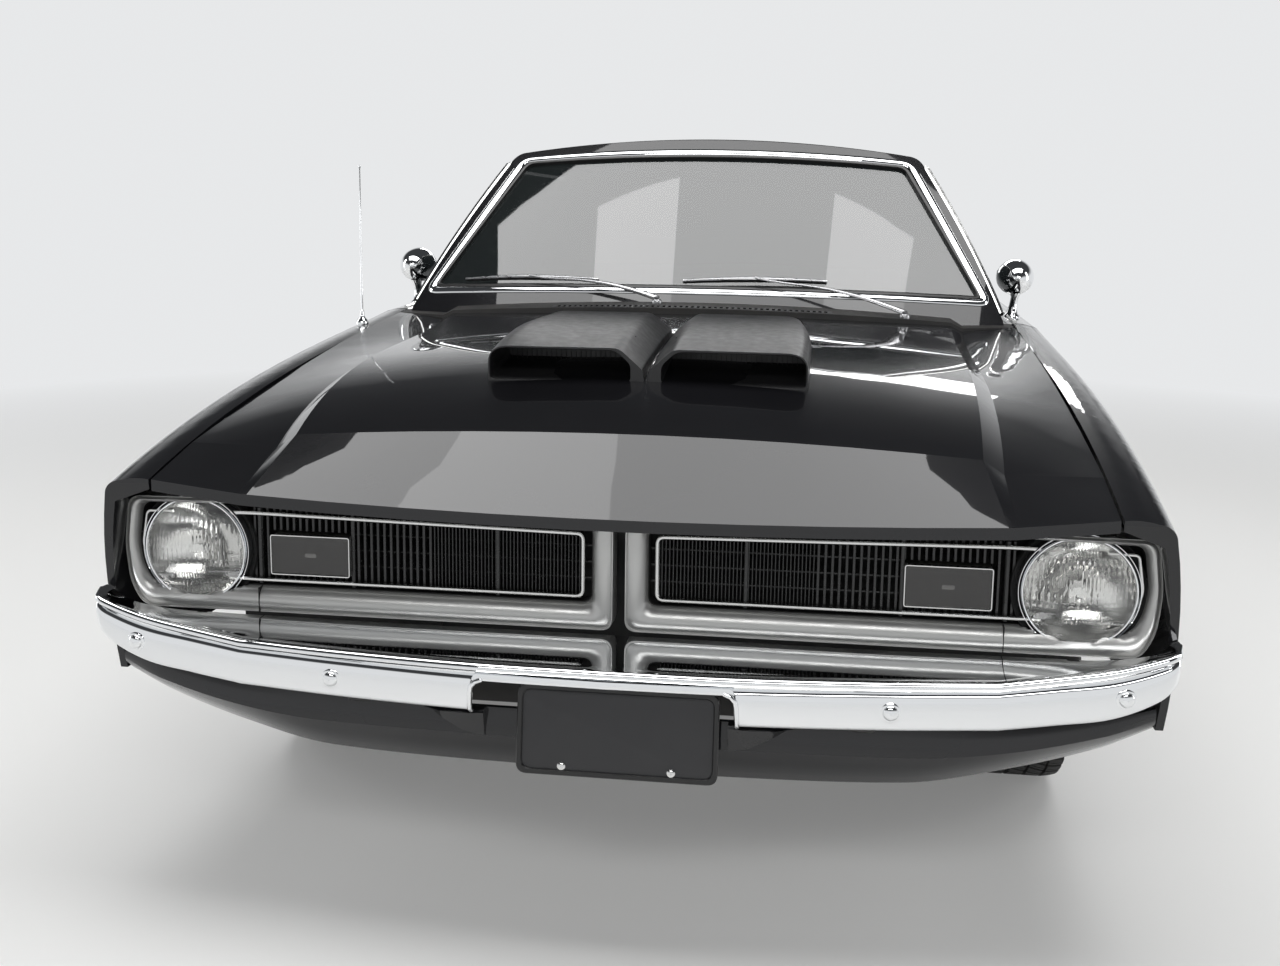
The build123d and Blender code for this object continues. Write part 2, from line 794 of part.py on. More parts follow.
with BuildPart() as cowl:
    loft([hood_face(y, 0, hood_wall) for y in (hood_rear_centre_y - 20, screen_base_y, cowl_end_y)])
    with BuildSketch(Plane.XY.offset(400)):
        with BuildLine():
            ThreePointArc(
                (-half_width, hood_rear_corner_y + 46 + cowl_gap),
                (0, hood_rear_centre_y + cowl_gap),
                (half_width, hood_rear_corner_y + 46 + cowl_gap),
            )
            Polyline(
                (half_width, hood_rear_corner_y + 46 + cowl_gap),
                (half_width, fender_rear_y),
                (-half_width, fender_rear_y),
                (-half_width, hood_rear_corner_y + 46 + cowl_gap),
            )
        make_face()
    extrude(amount=1000, mode=Mode.INTERSECT)
    add(wall_box((-firewall_half - 5, firewall_y - firewall_wall, sill_z), (firewall_half + 5, firewall_y, 862)))
    add(wall_box((-640, plenum_y, 846), (640, firewall_y, 856)))
    add(wall_box((-100, plenum_y, 846), (100, plenum_y + 10, 948)))
    add(wall_box((-150, firewall_y - 100, sill_z), (150, firewall_y + 100, tunnel_z)), mode=Mode.SUBTRACT)
    for side in (-1, 1):
        low_x, high_x = sorted((side * firewall_half, side * pillar_outer_x))
        add(wall_box((low_x, firewall_y - firewall_wall, sill_z + 10.3), (high_x, fender_rear_y, 855)))
    add(cabin_outer, mode=Mode.SUBTRACT)
    add(vent_strip(0, 60), mode=Mode.SUBTRACT)
    for side in (-1, 1):
        low_x, high_x = sorted((side * hinge_leaf_x[0], side * hinge_leaf_x[1]))
        for z in hinge_z:
            add(wall_box((low_x, fender_rear_y - 1, z), (high_x, door_front_y - seat_gap, z + hinge_height)))

# Slotted vent that lies in the cowl's opening
slot_count = round((vent_x[1] - vent_x[0] - 2 * vent_lip - slot_width) / slot_pitch)
slot_start_x = (vent_x[0] + vent_x[1]) / 2 - (slot_count - 1) * slot_pitch / 2
slot_x = [slot_start_x + i * slot_pitch for i in range(slot_count)]
slot_ahead = cowl_gap + vent_gap_y + vent_reach / 2
with BuildPart() as cowl_vent:
    add(vent_strip(seat_gap, vent_wall + 1))
    loft([hood_face(y, 2, 2) for y in (hood_rear_centre_y - 20, screen_base_y)], mode=Mode.SUBTRACT)
    with BuildSketch(Plane.XY.offset(800)):
        with Locations(*[(x, hood_rear_y(x) + slot_ahead) for x in slot_x]):
            Rectangle(slot_width, slot_length)
    extrude(amount=400, mode=Mode.SUBTRACT)
save(cowl_vent, "cowl_vent")

# Frame rail, inner apron and its shelf on one side
rail_rear_y = firewall_y - firewall_wall - seat_gap
with BuildPart() as front_side:
    add(wall_box((rail_x[0], nose_y + 40, rail_z[0]), (rail_x[1], rail_rear_y, rail_z[1])))
    add(wall_box((apron_x, support_y + support_wall + seat_gap, rail_z[0]),
                 (apron_x + apron_wall, rail_rear_y, apron_top_z)))
    add(wall_box((apron_x, front_axle_y - 390, apron_top_z), (800, front_axle_y + 390, apron_top_z + 12)))

# Radiator support with pads for the grille and stops for the hood
with BuildPart() as radiator_support:
    add(wall_box((-700, support_y, 330), (700, support_y + support_wall, 668)))
    add(wall_box((-330, support_y - 50, 380), (330, support_y + 50, 640)), mode=Mode.SUBTRACT)
    for side in (-1, 1):
        low_x, high_x = sorted((side * (rail_x[0] - seat_gap), side * (rail_x[1] + seat_gap)))
        add(wall_box((low_x, support_y - 50, 300), (high_x, support_y + 50, rail_z[1] + seat_gap)), mode=Mode.SUBTRACT)
        low_x, high_x = sorted((side * 600, side * 640))
        add(wall_box((low_x, grille_back_y + seat_gap, 500), (high_x, support_y + 1, 668)))
        low_x = side * stop_x - stop_width / 2
        add(wall_box((low_x, support_y, 660), (low_x + stop_width, support_y + support_wall, stop_top_z)))
    add(hood_body(0, hood_wall + seat_gap), mode=Mode.SUBTRACT)

with BuildPart() as front_structure:
    add(cowl.part)
    add(front_side.part)
    mirror(front_side.part, about=Plane.YZ)
    add(radiator_support.part)
save(front_structure, "front_structure")

# Floor pan with tunnel, kick-up, trunk floor, wheelhouses and package shelf
floor_wall = 10
tunnel_x = 165
kick_front_y = rear_axle_y - 703
kick_rear_y = rear_axle_y - 223
trunk_floor_z = 520
house_inner_x = rear_wheel_x - 155
axle_slot_half = 80
shelf_half = house_inner_x - 13
shelf_front_y = rear_axle_y - 63
shelf_z = 885
with BuildPart() as floor:
    add(wall_box((-sill_inner_x + seat_gap, fender_rear_y + seat_gap, sill_z),
                 (sill_inner_x - seat_gap, kick_front_y, sill_z + floor_wall)))
    add(wall_box((-firewall_half + seat_gap, firewall_y + seat_gap, sill_z),
                 (firewall_half - seat_gap, fender_rear_y + 1, sill_z + floor_wall)))
    add(
        side_prism(
            [
                (kick_front_y - 20, sill_z),
                (kick_front_y, sill_z),
                (kick_front_y + 60, 345),
                (kick_rear_y - 70, 400),
                (kick_rear_y, trunk_floor_z),
                (tail_end_y, trunk_floor_z),
                (tail_end_y, trunk_floor_z + floor_wall),
                (kick_rear_y - 10, trunk_floor_z + floor_wall),
                (kick_rear_y - 80, 400 + floor_wall),
                (kick_front_y + 50, 345 + floor_wall),
                (kick_front_y - 10, sill_z + floor_wall),
                (kick_front_y - 20, sill_z + floor_wall),
            ],
            -house_inner_x - plate_wall,
            house_inner_x + plate_wall,
        )
    )
    add(
        side_prism(
            [
                (firewall_y + seat_gap, sill_z),
                (firewall_y + seat_gap, tunnel_z),
                (firewall_y + 635, tunnel_z - 20),
                (kick_front_y + 70, tunnel_z - 34),
                (kick_front_y + 70, sill_z + 100),
                (kick_front_y + 20, sill_z),
            ],
            -tunnel_x,
            tunnel_x,
        )
    )
    add(
        side_prism(
            [
                (firewall_y - 5, sill_z - 5),
                (firewall_y - 5, tunnel_z - floor_wall),
                (firewall_y + 635, tunnel_z - 20 - floor_wall),
                (kick_front_y + 80, tunnel_z - 34 - floor_wall),
                (kick_front_y + 80, sill_z - 5),
            ],
            -tunnel_x + floor_wall,
            tunnel_x - floor_wall,
        ),
        mode=Mode.SUBTRACT,
    )
    for side in (-1, 1):
        with BuildSketch(Plane.YZ.offset(side * house_inner_x)):
            with Locations((rear_axle_y, tyre_r)):
                Circle(arch_r + plate_wall)
            with Locations((rear_axle_y, tyre_r - 400)):
                Rectangle(1000, 800, mode=Mode.SUBTRACT)
        extrude(amount=side * 293)
        with BuildSketch(Plane.YZ.offset(side * (house_inner_x + plate_wall))):
            with Locations((rear_axle_y, tyre_r)):
                Circle(arch_r)
        extrude(amount=side * 400, mode=Mode.SUBTRACT)
        low_x, high_x = sorted((side * (house_inner_x - 5), side * (house_inner_x + plate_wall + 5)))
        add(
            wall_box(
                (low_x, rear_axle_y - axle_slot_half, tyre_r - 10),
                (high_x, rear_axle_y + axle_slot_half, tyre_r + 75),
            ),
            mode=Mode.SUBTRACT,
        )
    add(wall_box((-shelf_half, shelf_front_y, trunk_floor_z + 5), (shelf_half, shelf_front_y + 8, shelf_z)))
    add(wall_box((-shelf_half, shelf_front_y, shelf_z - 8), (shelf_half, backlight_end_y - 22, shelf_z)))
save(floor, "floor")

# Engine with air cleaner and gearbox, radiator, exhaust and fuel tank
engine_x = 255
engine_y = (front_axle_y - 180, front_axle_y + 390)
engine_z = (320, 740)
gearbox_rear_y = firewall_y + 535
with BuildPart() as engine:
    add(wall_box((-engine_x, engine_y[0], engine_z[0]), (engine_x, engine_y[1], engine_z[1])))
    add(wall_box((-110, engine_y[1] - 10, 240), (110, gearbox_rear_y, 350)))
    with BuildSketch(Plane.XY.offset(engine_z[1])):
        with Locations((0, front_axle_y + 70)):
            Circle(180)
    extrude(amount=70)
    for side in (-1, 1):
        low_x, high_x = sorted((side * 170, side * 240))
        add(wall_box((low_x, front_axle_y - 40, rail_z[0]), (high_x, front_axle_y + 40, engine_z[0])))
save(engine, "engine")

with BuildPart() as radiator:
    add(wall_box((-360, support_y + support_wall + seat_gap, 370), (360, support_y + 62, 650)))
    fillet(radiator.edges().filter_by(Axis.Z), radius=8)
save(radiator, "radiator")

exhaust_x = 330
exhaust_r = 27
with BuildPart() as exhaust:
    for side in (-1, 1):
        with BuildLine() as route:
            FilletPolyline(
                (side * (engine_x + seat_gap), front_axle_y + 120, 420),
                (side * exhaust_x, front_axle_y + 120, 420),
                (side * exhaust_x, front_axle_y + 190, 175),
                (side * exhaust_x, rear_axle_y + 337, 175),
                (side * exhaust_x, tail_y + 70, 268),
                radius=50,
            )
        with BuildSketch(Plane(origin=route.line @ 0, z_dir=route.line % 0)):
            Circle(exhaust_r)
        sweep(path=route.line)
        with BuildSketch(Plane.XZ.offset(-150)):
            with Locations((side * exhaust_x, 150)):
                SlotOverall(190, 100)
        extrude(amount=-520)
save(exhaust, "exhaust")

with BuildPart() as fuel_tank:
    add(wall_box((-400, rear_axle_y + 377, 290), (400, rear_axle_y + 877, trunk_floor_z - seat_gap)))
    fillet(fuel_tank.edges().filter_by(Axis.X), radius=40)
save(fuel_tank, "fuel_tank")

# Rear axle with leaf springs and propeller shaft
axle_tube_r = 38
spring_x = house_inner_x - 33
spring_front_y = rear_axle_y - 573
spring_rear_y = rear_axle_y + 657
spring_width = 60
spring_wall = 22
eye_r = 22
backing_wall = 12
drum_gap = 2
wheel_inner_reach = 50
rear_drum_x = rear_wheel_x - wheel_inner_reach
with BuildPart() as rear_axle:
    with BuildSketch(Plane.YZ.offset(-rear_drum_x + drum_gap)):
        with Locations((rear_axle_y, tyre_r)):
            Circle(axle_tube_r)
    extrude(amount=2 * rear_drum_x - 2 * drum_gap)
    with Locations((0, rear_axle_y, tyre_r)):
        Sphere(130)
    with BuildSketch(Plane.XZ.offset(-rear_axle_y + 160)):
        with Locations((0, 305)):
            Circle(60)
    extrude(amount=-160)
    with BuildSketch(Plane.XZ.offset(-rear_axle_y + 100)):
        with Locations((0, 305)):
            Circle(36)
    extrude(amount=rear_axle_y - 100 - gearbox_rear_y - seat_gap)
    for side in (-1, 1):
        with BuildSketch(Plane.YZ.offset(side * (rear_drum_x - drum_gap))):
            with Locations((rear_axle_y, tyre_r)):
                Circle(drum_r - 2)
        extrude(amount=-side * backing_wall)
        with BuildSketch(Plane.YZ.offset(side * (rear_drum_x - drum_gap))):
            with Locations((rear_axle_y, tyre_r)):
                Circle(spindle_r)
        extrude(amount=side * (drum_gap + wheel_inner_reach + 20))
        with BuildSketch(Plane.YZ.offset(side * spring_x - spring_width / 2)):
            with BuildLine():
                ThreePointArc((spring_front_y, 300), (rear_axle_y, 272), (spring_rear_y, 400))
                Line((spring_rear_y, 400), (spring_rear_y, 400 - spring_wall))
                ThreePointArc(
                    (spring_rear_y, 400 - spring_wall),
                    (rear_axle_y, 272 - spring_wall),
                    (spring_front_y, 300 - spring_wall),
                )
                Line((spring_front_y, 300 - spring_wall), (spring_front_y, 300))
            make_face()
            with Locations((spring_front_y, 300 - spring_wall / 2), (spring_rear_y, 400 - spring_wall / 2)):
                Circle(eye_r)
            with Locations((rear_axle_y, 276)):
                Rectangle(90, 60)
        extrude(amount=spring_width)
save(rear_axle, "rear_axle")

# Front suspension: cross member and arms that end over and under the knuckles
arm_low_z = (kingpin_low_z - 24, kingpin_low_z - seat_gap)
arm_high_z = (kingpin_high_z + seat_gap, kingpin_high_z + 18)
with BuildPart() as front_suspension:
    add(wall_box((-apron_x, front_axle_y - 70, 190), (apron_x, front_axle_y + 70, rail_z[0] - seat_gap)))
    for side in (-1, 1):
        for low_z, high_z, root_x in ((*arm_low_z, apron_x - 20), (*arm_high_z, apron_x + apron_wall + seat_gap)):
            with BuildSketch(Plane.XY.offset(low_z)):
                with BuildLine():
                    Polyline(
                        (side * root_x, front_axle_y - 65),
                        (side * kingpin_x, front_axle_y - 28),
                        (side * kingpin_x, front_axle_y + 28),
                        (side * root_x, front_axle_y + 65),
                        close=True,
                    )
                make_face()
                with Locations((side * kingpin_x, front_axle_y)):
                    Circle(kingpin_r)
            extrude(amount=high_z - low_z)
save(front_suspension, "front_suspension")

# Steering knuckles: kingpin post, backing plate, spindle and steering arm
front_drum_x = front_wheel_x - wheel_inner_reach
with BuildPart() as knuckle_left:
    with BuildSketch(Plane.XY.offset(kingpin_low_z)):
        with Locations((kingpin_x, front_axle_y)):
            Circle(kingpin_r)
    extrude(amount=kingpin_high_z - kingpin_low_z)
    with BuildSketch(Plane.YZ.offset(kingpin_x)):
        with Locations((front_axle_y, tyre_r)):
            Circle(42)
    extrude(amount=front_drum_x - drum_gap - kingpin_x)
    with BuildSketch(Plane.YZ.offset(front_drum_x - drum_gap)):
        with Locations((front_axle_y, tyre_r)):
            Circle(drum_r - 2)
    extrude(amount=-backing_wall)
    with BuildSketch(Plane.YZ.offset(front_drum_x - drum_gap)):
        with Locations((front_axle_y, tyre_r)):
            Circle(spindle_r)
    extrude(amount=drum_gap + wheel_inner_reach + 20)
    add(wall_box((kingpin_x - 36, front_axle_y, 236), (kingpin_x - 8, front_axle_y + 140, 256)))
save(knuckle_left, "knuckle_left")
with BuildPart() as knuckle_right:
    mirror(knuckle_left.part, about=Plane.YZ)
save(knuckle_right, "knuckle_right")

# Wheels: rim with five spokes, hub and brake drum, and the tyre round it
rim_half = 108
tyre_bead = rim_r + 2.3
with BuildPart() as wheel_rim:
    with BuildSketch(Plane.XZ):
        with BuildLine():
            Polyline(
                (-rim_half, rim_r - 8),
                (-rim_half, rim_r + 15),
                (-rim_half + 8, rim_r + 15),
                (-rim_half + 8, rim_r + 2),
                (-rim_half + 40, rim_r + 2),
                (-rim_half + 60, rim_r - 16),
                (rim_half - 75, rim_r - 16),
                (rim_half - 55, rim_r + 2),
                (rim_half - 8, rim_r + 2),
                (rim_half - 8, rim_r + 15),
                (rim_half, rim_r + 15),
                (rim_half, rim_r - 2),
                (rim_half - 22, rim_r - 10),
                (rim_half - 58, rim_r - 14),
                (rim_half - 78, rim_r - 26),
                (-rim_half + 62, rim_r - 26),
                (-rim_half + 42, rim_r - 8),
                close=True,
            )
        make_face()
    revolve(axis=Axis.X)
    with BuildSketch(Plane.YZ.offset(-wheel_inner_reach)):
        Circle(drum_r)
    extrude(amount=drum_depth)
    with BuildSketch(Plane.YZ):
        Circle(hub_r)
    extrude(amount=44)
    with BuildSketch(Plane.YZ.offset(6)):
        with PolarLocations(0, spoke_count):
            with BuildLine():
                Polyline((40, -34), (rim_r - 20, -24), (rim_r - 20, 24), (40, 34), close=True)
            make_face()
    extrude(amount=34)
    with BuildSketch(Plane.YZ.offset(44)):
        Circle(38)
    extrude(amount=16, taper=20)
    with BuildSketch(Plane.YZ.offset(-wheel_inner_reach)):
        Circle(spindle_r + spindle_fit)
    extrude(amount=wheel_inner_reach + 23, mode=Mode.SUBTRACT)

tyre_half = tyre_width / 2
with BuildPart() as wheel_tyre:
    with BuildSketch(Plane.XZ):
        with BuildLine():
            Polyline(
                (-rim_half + 8.3, tyre_bead),
                (rim_half - 8.3, tyre_bead),
                (rim_half - 8.3, rim_r + 15.3),
            )
            Polyline(
                (rim_half - 8.3, rim_r + 15.3),
                (tyre_half, (rim_r + tyre_r) / 2 + 5),
                (tyre_half - 6, tyre_r - 18),
                (tyre_half - 26, tyre_r),
                (-tyre_half + 26, tyre_r),
                (-tyre_half + 6, tyre_r - 18),
                (-tyre_half, (rim_r + tyre_r) / 2 + 5),
                (-rim_half + 8.3, rim_r + 15.3),
            )
            Line((-rim_half + 8.3, rim_r + 15.3), (-rim_half + 8.3, tyre_bead))
        make_face()
    revolve(axis=Axis.X)

# name, centre x, centre y
wheel_rows = [
    ("front", front_wheel_x, front_axle_y),
    ("rear", rear_wheel_x, rear_axle_y),
]
for row_name, centre_x, centre_y in wheel_rows:
    for kind, source in (("rim", wheel_rim), ("tyre", wheel_tyre)):
        with BuildPart() as left_piece:
            with Locations((centre_x, centre_y, tyre_r)):
                add(source.part)
        save(left_piece, f"{kind}_{row_name}_left")
        with BuildPart() as right_piece:
            mirror(left_piece.part, about=Plane.YZ)
        save(right_piece, f"{kind}_{row_name}_right")


def rounded_outline(plane, points, radius):
    """A closed outline of straight runs with rounded corners, on a plane."""
    with BuildSketch(plane) as outline:
        with BuildLine():
            Polyline(*points, close=True)
        make_face()
        fillet(outline.vertices(), radius=radius)
    return outline.sketch


# Grille bezels: a frame each side, round its recess and the headlamp
lamp_x = half_width - 152
lamp_z = 605
lamp_r = 89
lamp_ring_r = 94
lamp_face_y = grille_y - 4
lamp_back_y = grille_y + 60
lamp_dome = 16
bezel_inner_x = 10
grille_outer_x = half_width - 269
bezel_plane = Plane.XZ.offset(-bezel_back_y)
bezel_outline = [
    (bezel_inner_x, 497),
    (half_width - 64, 497),
    (half_width - 37, 540),
    (half_width - 28, 610),
    (half_width - 41, 696),
    (grille_outer_x, 700),
    (bezel_inner_x, 688),
]
recess_outline = [
    (bezel_inner_x + 38, 541),
    (half_width - 81, 541),
    (half_width - 69, 565),
    (half_width - 63, 612),
    (half_width - 71, 684),
    (grille_outer_x, 689),
    (bezel_inner_x + 38, 677),
]
with BuildPart() as grille_bezels:
    extrude(rounded_outline(bezel_plane, bezel_outline, 14), amount=bezel_depth)
    extrude(rounded_outline(bezel_plane, recess_outline, 12), amount=bezel_depth, mode=Mode.SUBTRACT)
    with BuildSketch(bezel_plane):
        with Locations((lamp_x, lamp_z)):
            Circle(lamp_ring_r + 1)
    extrude(amount=bezel_depth, mode=Mode.SUBTRACT)
    mirror(about=Plane.YZ)
save(grille_bezels, "grille_bezels")

# Grille: two recessed panels of fine upright bars behind the bezels
grille_inner_x = 26
grille_low_z = 528
grille_high_z = 684
bar_pitch = 13.5
bar_width = 5
grille_front_y = bezel_back_y + seat_gap
bar_count = round((grille_outer_x - grille_inner_x - 30) / bar_pitch)
with BuildPart() as grille:
    with BuildSketch(Plane.XZ.offset(-grille_front_y - bar_depth)):
        with Locations(((grille_inner_x + grille_outer_x) / 2, (grille_low_z + grille_high_z) / 2)):
            Rectangle(grille_outer_x - grille_inner_x, grille_high_z - grille_low_z)
            Rectangle(grille_outer_x - grille_inner_x - 16, grille_high_z - grille_low_z - 16, mode=Mode.SUBTRACT)
            Rectangle(grille_outer_x - grille_inner_x, 6)
            with GridLocations(bar_pitch, 0, bar_count, 1):
                Rectangle(bar_width, grille_high_z - grille_low_z)
    extrude(amount=bar_depth)
    mirror(about=Plane.YZ)
save(grille, "grille")

# Headlamps with their rings, and the marker lamps in the grille
marker_x = half_width - 361
marker_z = 601
with BuildPart() as front_lamps:
    with BuildSketch(Plane.XY.offset(lamp_z)):
        with BuildLine():
            ThreePointArc(
                (lamp_x, lamp_face_y - lamp_dome),
                (lamp_x + lamp_r * 0.5, lamp_face_y - lamp_dome * 0.75),
                (lamp_x + lamp_r, lamp_face_y),
            )
            Polyline(
                (lamp_x + lamp_r, lamp_face_y),
                (lamp_x + lamp_r + 1, lamp_face_y - 6),
                (lamp_x + lamp_ring_r, lamp_face_y - 2),
                (lamp_x + lamp_ring_r, lamp_back_y),
                (lamp_x, lamp_back_y),
                (lamp_x, lamp_face_y - lamp_dome),
            )
        make_face()
    revolve(axis=Axis((lamp_x, 0, lamp_z), (0, 1, 0)))
    with BuildSketch(Plane.XZ.offset(-bezel_back_y)):
        with Locations((marker_x, marker_z)):
            RectangleRounded(142, 70, 4)
    extrude(amount=26)
    mirror(about=Plane.YZ)
save(front_lamps, "front_lamps")


def bumper_face(x, out, face_y, back_y, back_z, ridge_z, top_z, low_z):
    """Closed section of a bumper channel at x; out is -1 for the front and +1 for the rear."""

    def at(depth, z):
        return (face_y - out * depth, z)

    with BuildSketch(Plane.YZ.offset(x)) as face:
        with BuildLine():
            Polyline(
                (back_y, back_z),
                at(12, ridge_z),
                at(0, ridge_z - 6),
                at(9, top_z + 5),
                at(3, top_z),
                at(6, low_z),
                at(22, low_z - 3),
                at(22, low_z + 4),
                at(14, low_z + 8),
                at(14, top_z + 1),
                at(24, ridge_z - 12),
                (back_y, back_z - 8),
                close=True,
            )
        make_face()
    return face.sketch


# Front bumper: x, face y, back y and z of the shelf, ridge z, face top z, face bottom z
shelf_y = grille_y - bezel_front - 2
front_bumper_rows = [
    (0, bumper_front_y, shelf_y, 490, 486, 466, 408),
    (216, bumper_front_y + 4, shelf_y, 490, 486, 467, 409),
    (454, bumper_front_y + 24, shelf_y, 490, 487, 470, 410),
    (half_width - 288, bumper_front_y + 44, shelf_y, 491, 489, 473, 413),
    (half_width - 109, bumper_front_y + 70, shelf_y - 3, 494, 512, 492, 434),
    (half_width - 37, bumper_front_y + 78, nose_y + 28, 515, 533, 516, 466),
    (half_width - 11, bumper_front_y + 86, nose_y + 31, 540, 541, 527, 488),
    (half_width - 2, bumper_front_y + 122, nose_y + 31, 543, 543, 530, 496),
]
plate_cut_x = 216
bracket_x = (392, 432)
with BuildPart() as front_bumper:
    for inner, outer in zip(front_bumper_rows, front_bumper_rows[1:]):
        loft([bumper_face(row[0], -1, *row[1:]) for row in (inner, outer)], ruled=True)
    mirror(about=Plane.YZ)
    add(wall_box((-plate_cut_x, bumper_front_y - 10, 380), (plate_cut_x, bumper_front_y + 60, 456)), mode=Mode.SUBTRACT)
    for side in (-1, 1):
        low_x, high_x = sorted((side * bracket_x[0], side * bracket_x[1]))
        add(wall_box((low_x, bumper_front_y + 32, 398 + seat_gap), (high_x, nose_y + 82, 440)))
        add(wall_box((low_x, nose_y + 42, rail_z[1] + seat_gap), (high_x, nose_y + 82, 440)))
save(front_bumper, "front_bumper")

# Front valance: x, top y and z, crease y and z, bottom y and z
valance_rows = [
    (0, bumper_front_y + 53, 398, bumper_front_y + 47, 345, bumper_front_y + 95, 262),
    (480, bumper_front_y + 65, 398, bumper_front_y + 59, 348, bumper_front_y + 110, 270),
    (half_width - 245, bumper_front_y + 93, 402, bumper_front_y + 87, 362, bumper_front_y + 140, 296),
    (half_width - 109, bumper_front_y + 133, 412, bumper_front_y + 129, 385, bumper_front_y + 170, 335),
    (half_width - 25, bumper_front_y + 160, 420, bumper_front_y + 158, 400, bumper_front_y + 175, 383),
]


def valance_face(row):
    """Closed section of the front valance at one row."""
    x, top_y, top_z, crease_y, crease_z, low_y, low_z = row
    with BuildSketch(Plane.YZ.offset(x)) as face:
        with BuildLine():
            Polyline(
                (top_y, top_z),
                (crease_y, crease_z),
                (low_y, low_z),
                (low_y + plate_wall, low_z + 3),
                (crease_y + plate_wall, crease_z),
                (top_y + plate_wall, top_z),
                close=True,
            )
        make_face()
    return face.sketch


with BuildPart() as front_valance:
    for inner, outer in zip(valance_rows, valance_rows[1:]):
        loft([valance_face(row) for row in (inner, outer)], ruled=True)
    mirror(about=Plane.YZ)
save(front_valance, "front_valance")

# Rear bumper on its brackets, with the two holes for a rear number plate
plate_hole_spacing = 177.8
plate_hole_r = 3.5
plate_hole_z = 486
rear_bumper_rows = [
    (0, bumper_rear_y, tail_face_y + 18, 544, 540, 520, 452),
    (600, bumper_rear_y - 10, tail_face_y + 18, 544, 540, 520, 452),
    (half_width - 89, bumper_rear_y - 42, tail_face_y + 14, 546, 542, 522, 456),
    (half_width - 19, bumper_rear_y - 78, tail_face_y + 6, 548, 544, 524, 464),
]
with BuildPart() as rear_bumper:
    for inner, outer in zip(rear_bumper_rows, rear_bumper_rows[1:]):
        loft([bumper_face(row[0], 1, *row[1:]) for row in (inner, outer)], ruled=True)
    mirror(about=Plane.YZ)
    for side in (-1, 1):
        low_x, high_x = sorted((side * bracket_x[0], side * bracket_x[1]))
        add(wall_box((low_x, tail_face_y + seat_gap, 470), (high_x, bumper_rear_y - 20, 505)))
    with BuildSketch(Plane.XZ.offset(-bumper_rear_y - 10)):
        with GridLocations(plate_hole_spacing, 0, 2, 1):
            with Locations((0, plate_hole_z)):
                Circle(plate_hole_r)
    extrude(amount=40, mode=Mode.SUBTRACT)
save(rear_bumper, "rear_bumper")

# Door mirrors: a bullet shell on a short stand
mirror_y = door_front_y + 206
mirror_x = half_width - 64
mirror_z = 1026
mirror_r = 50
stand_low_z = 921
with BuildPart() as mirror_left:
    with BuildSketch(Plane.XY.offset(mirror_z)):
        with BuildLine():
            Polyline(
                (mirror_x, mirror_y - 75),
                (mirror_x + 12, mirror_y - 71),
                (mirror_x + 25, mirror_y - 57),
                (mirror_x + 38, mirror_y - 34),
                (mirror_x + 46, mirror_y - 8),
                (mirror_x + mirror_r, mirror_y + 18),
                (mirror_x + mirror_r, mirror_y + 30),
                (mirror_x + mirror_r - 5, mirror_y + 30),
                (mirror_x + mirror_r - 6, mirror_y + 24),
                (mirror_x, mirror_y + 24),
                close=True,
            )
        make_face()
    revolve(axis=Axis((mirror_x, 0, mirror_z), (0, 1, 0)))
    with BuildSketch(Plane.XY.offset(stand_low_z)):
        with Locations((mirror_x - 3, mirror_y)):
            Ellipse(12, 26)
    extrude(amount=mirror_z - stand_low_z - 20)
save(mirror_left, "mirror_left")
with BuildPart() as mirror_right:
    mirror(mirror_left.part, about=Plane.YZ)
save(mirror_right, "mirror_right")

def bar(start, end, width, thickness):
    """A straight bar between two points, its thickness across the bar."""
    run = Vector(end) - Vector(start)
    with BuildPart() as rod:
        with BuildSketch(Plane(origin=start, x_dir=(0, 0.65, -0.76), z_dir=run)):
            Rectangle(width, thickness)
        extrude(amount=run.length)
    return rod.part


def on_screen(x, along, lift):
    """The point of the windscreen at x and a distance up the glass, lifted off the surface."""
    drop = screen_r - math.sqrt(screen_r**2 - x**2)
    point = screen_plane.origin + screen_plane.y_dir * along + screen_plane.z_dir * (lift - drop)
    return (x, point.Y, point.Z)


# Wipers: pivot x, y and z, then the blade's ends as x and distance up the glass
wiper_rows = [
    (-98, screen_base_y - 40, 962.9, -640, 96, -262, 46),
    (529, screen_base_y - 25, 939.7, -38, 36, 332, 62),
]
blade_lift = 5
arm_lift = 4
with BuildPart() as wipers:
    for pivot_x, pivot_y, pivot_z, start_x, start_up, end_x, end_up in wiper_rows:
        start = Vector(*on_screen(start_x, start_up, blade_lift))
        end = Vector(*on_screen(end_x, end_up, blade_lift))
        add(bar(start, end, 9, 9))
        with BuildSketch(Plane.XY.offset(pivot_z)):
            with Locations((pivot_x, pivot_y)):
                Circle(12)
        extrude(amount=36)
        add(bar((pivot_x, pivot_y, pivot_z + 32), (start + end) / 2 + screen_plane.z_dir * arm_lift, 12, 5))
save(wipers, "wipers")

# Antenna on the right front fender
antenna_x = -half_width + 59
antenna_y = front_axle_y + 427
antenna_base_z = 897.3
antenna_top_z = 1299
with BuildPart() as antenna:
    with BuildSketch(Plane.XY.offset(antenna_base_z)):
        with Locations((antenna_x, antenna_y)):
            Circle(16)
    extrude(amount=16, taper=25)
    with BuildSketch(Plane.XY.offset(antenna_base_z + 10)):
        with Locations((antenna_x, antenna_y)):
            Circle(3)
    extrude(amount=antenna_top_z - antenna_base_z - 10)
save(antenna, "antenna")

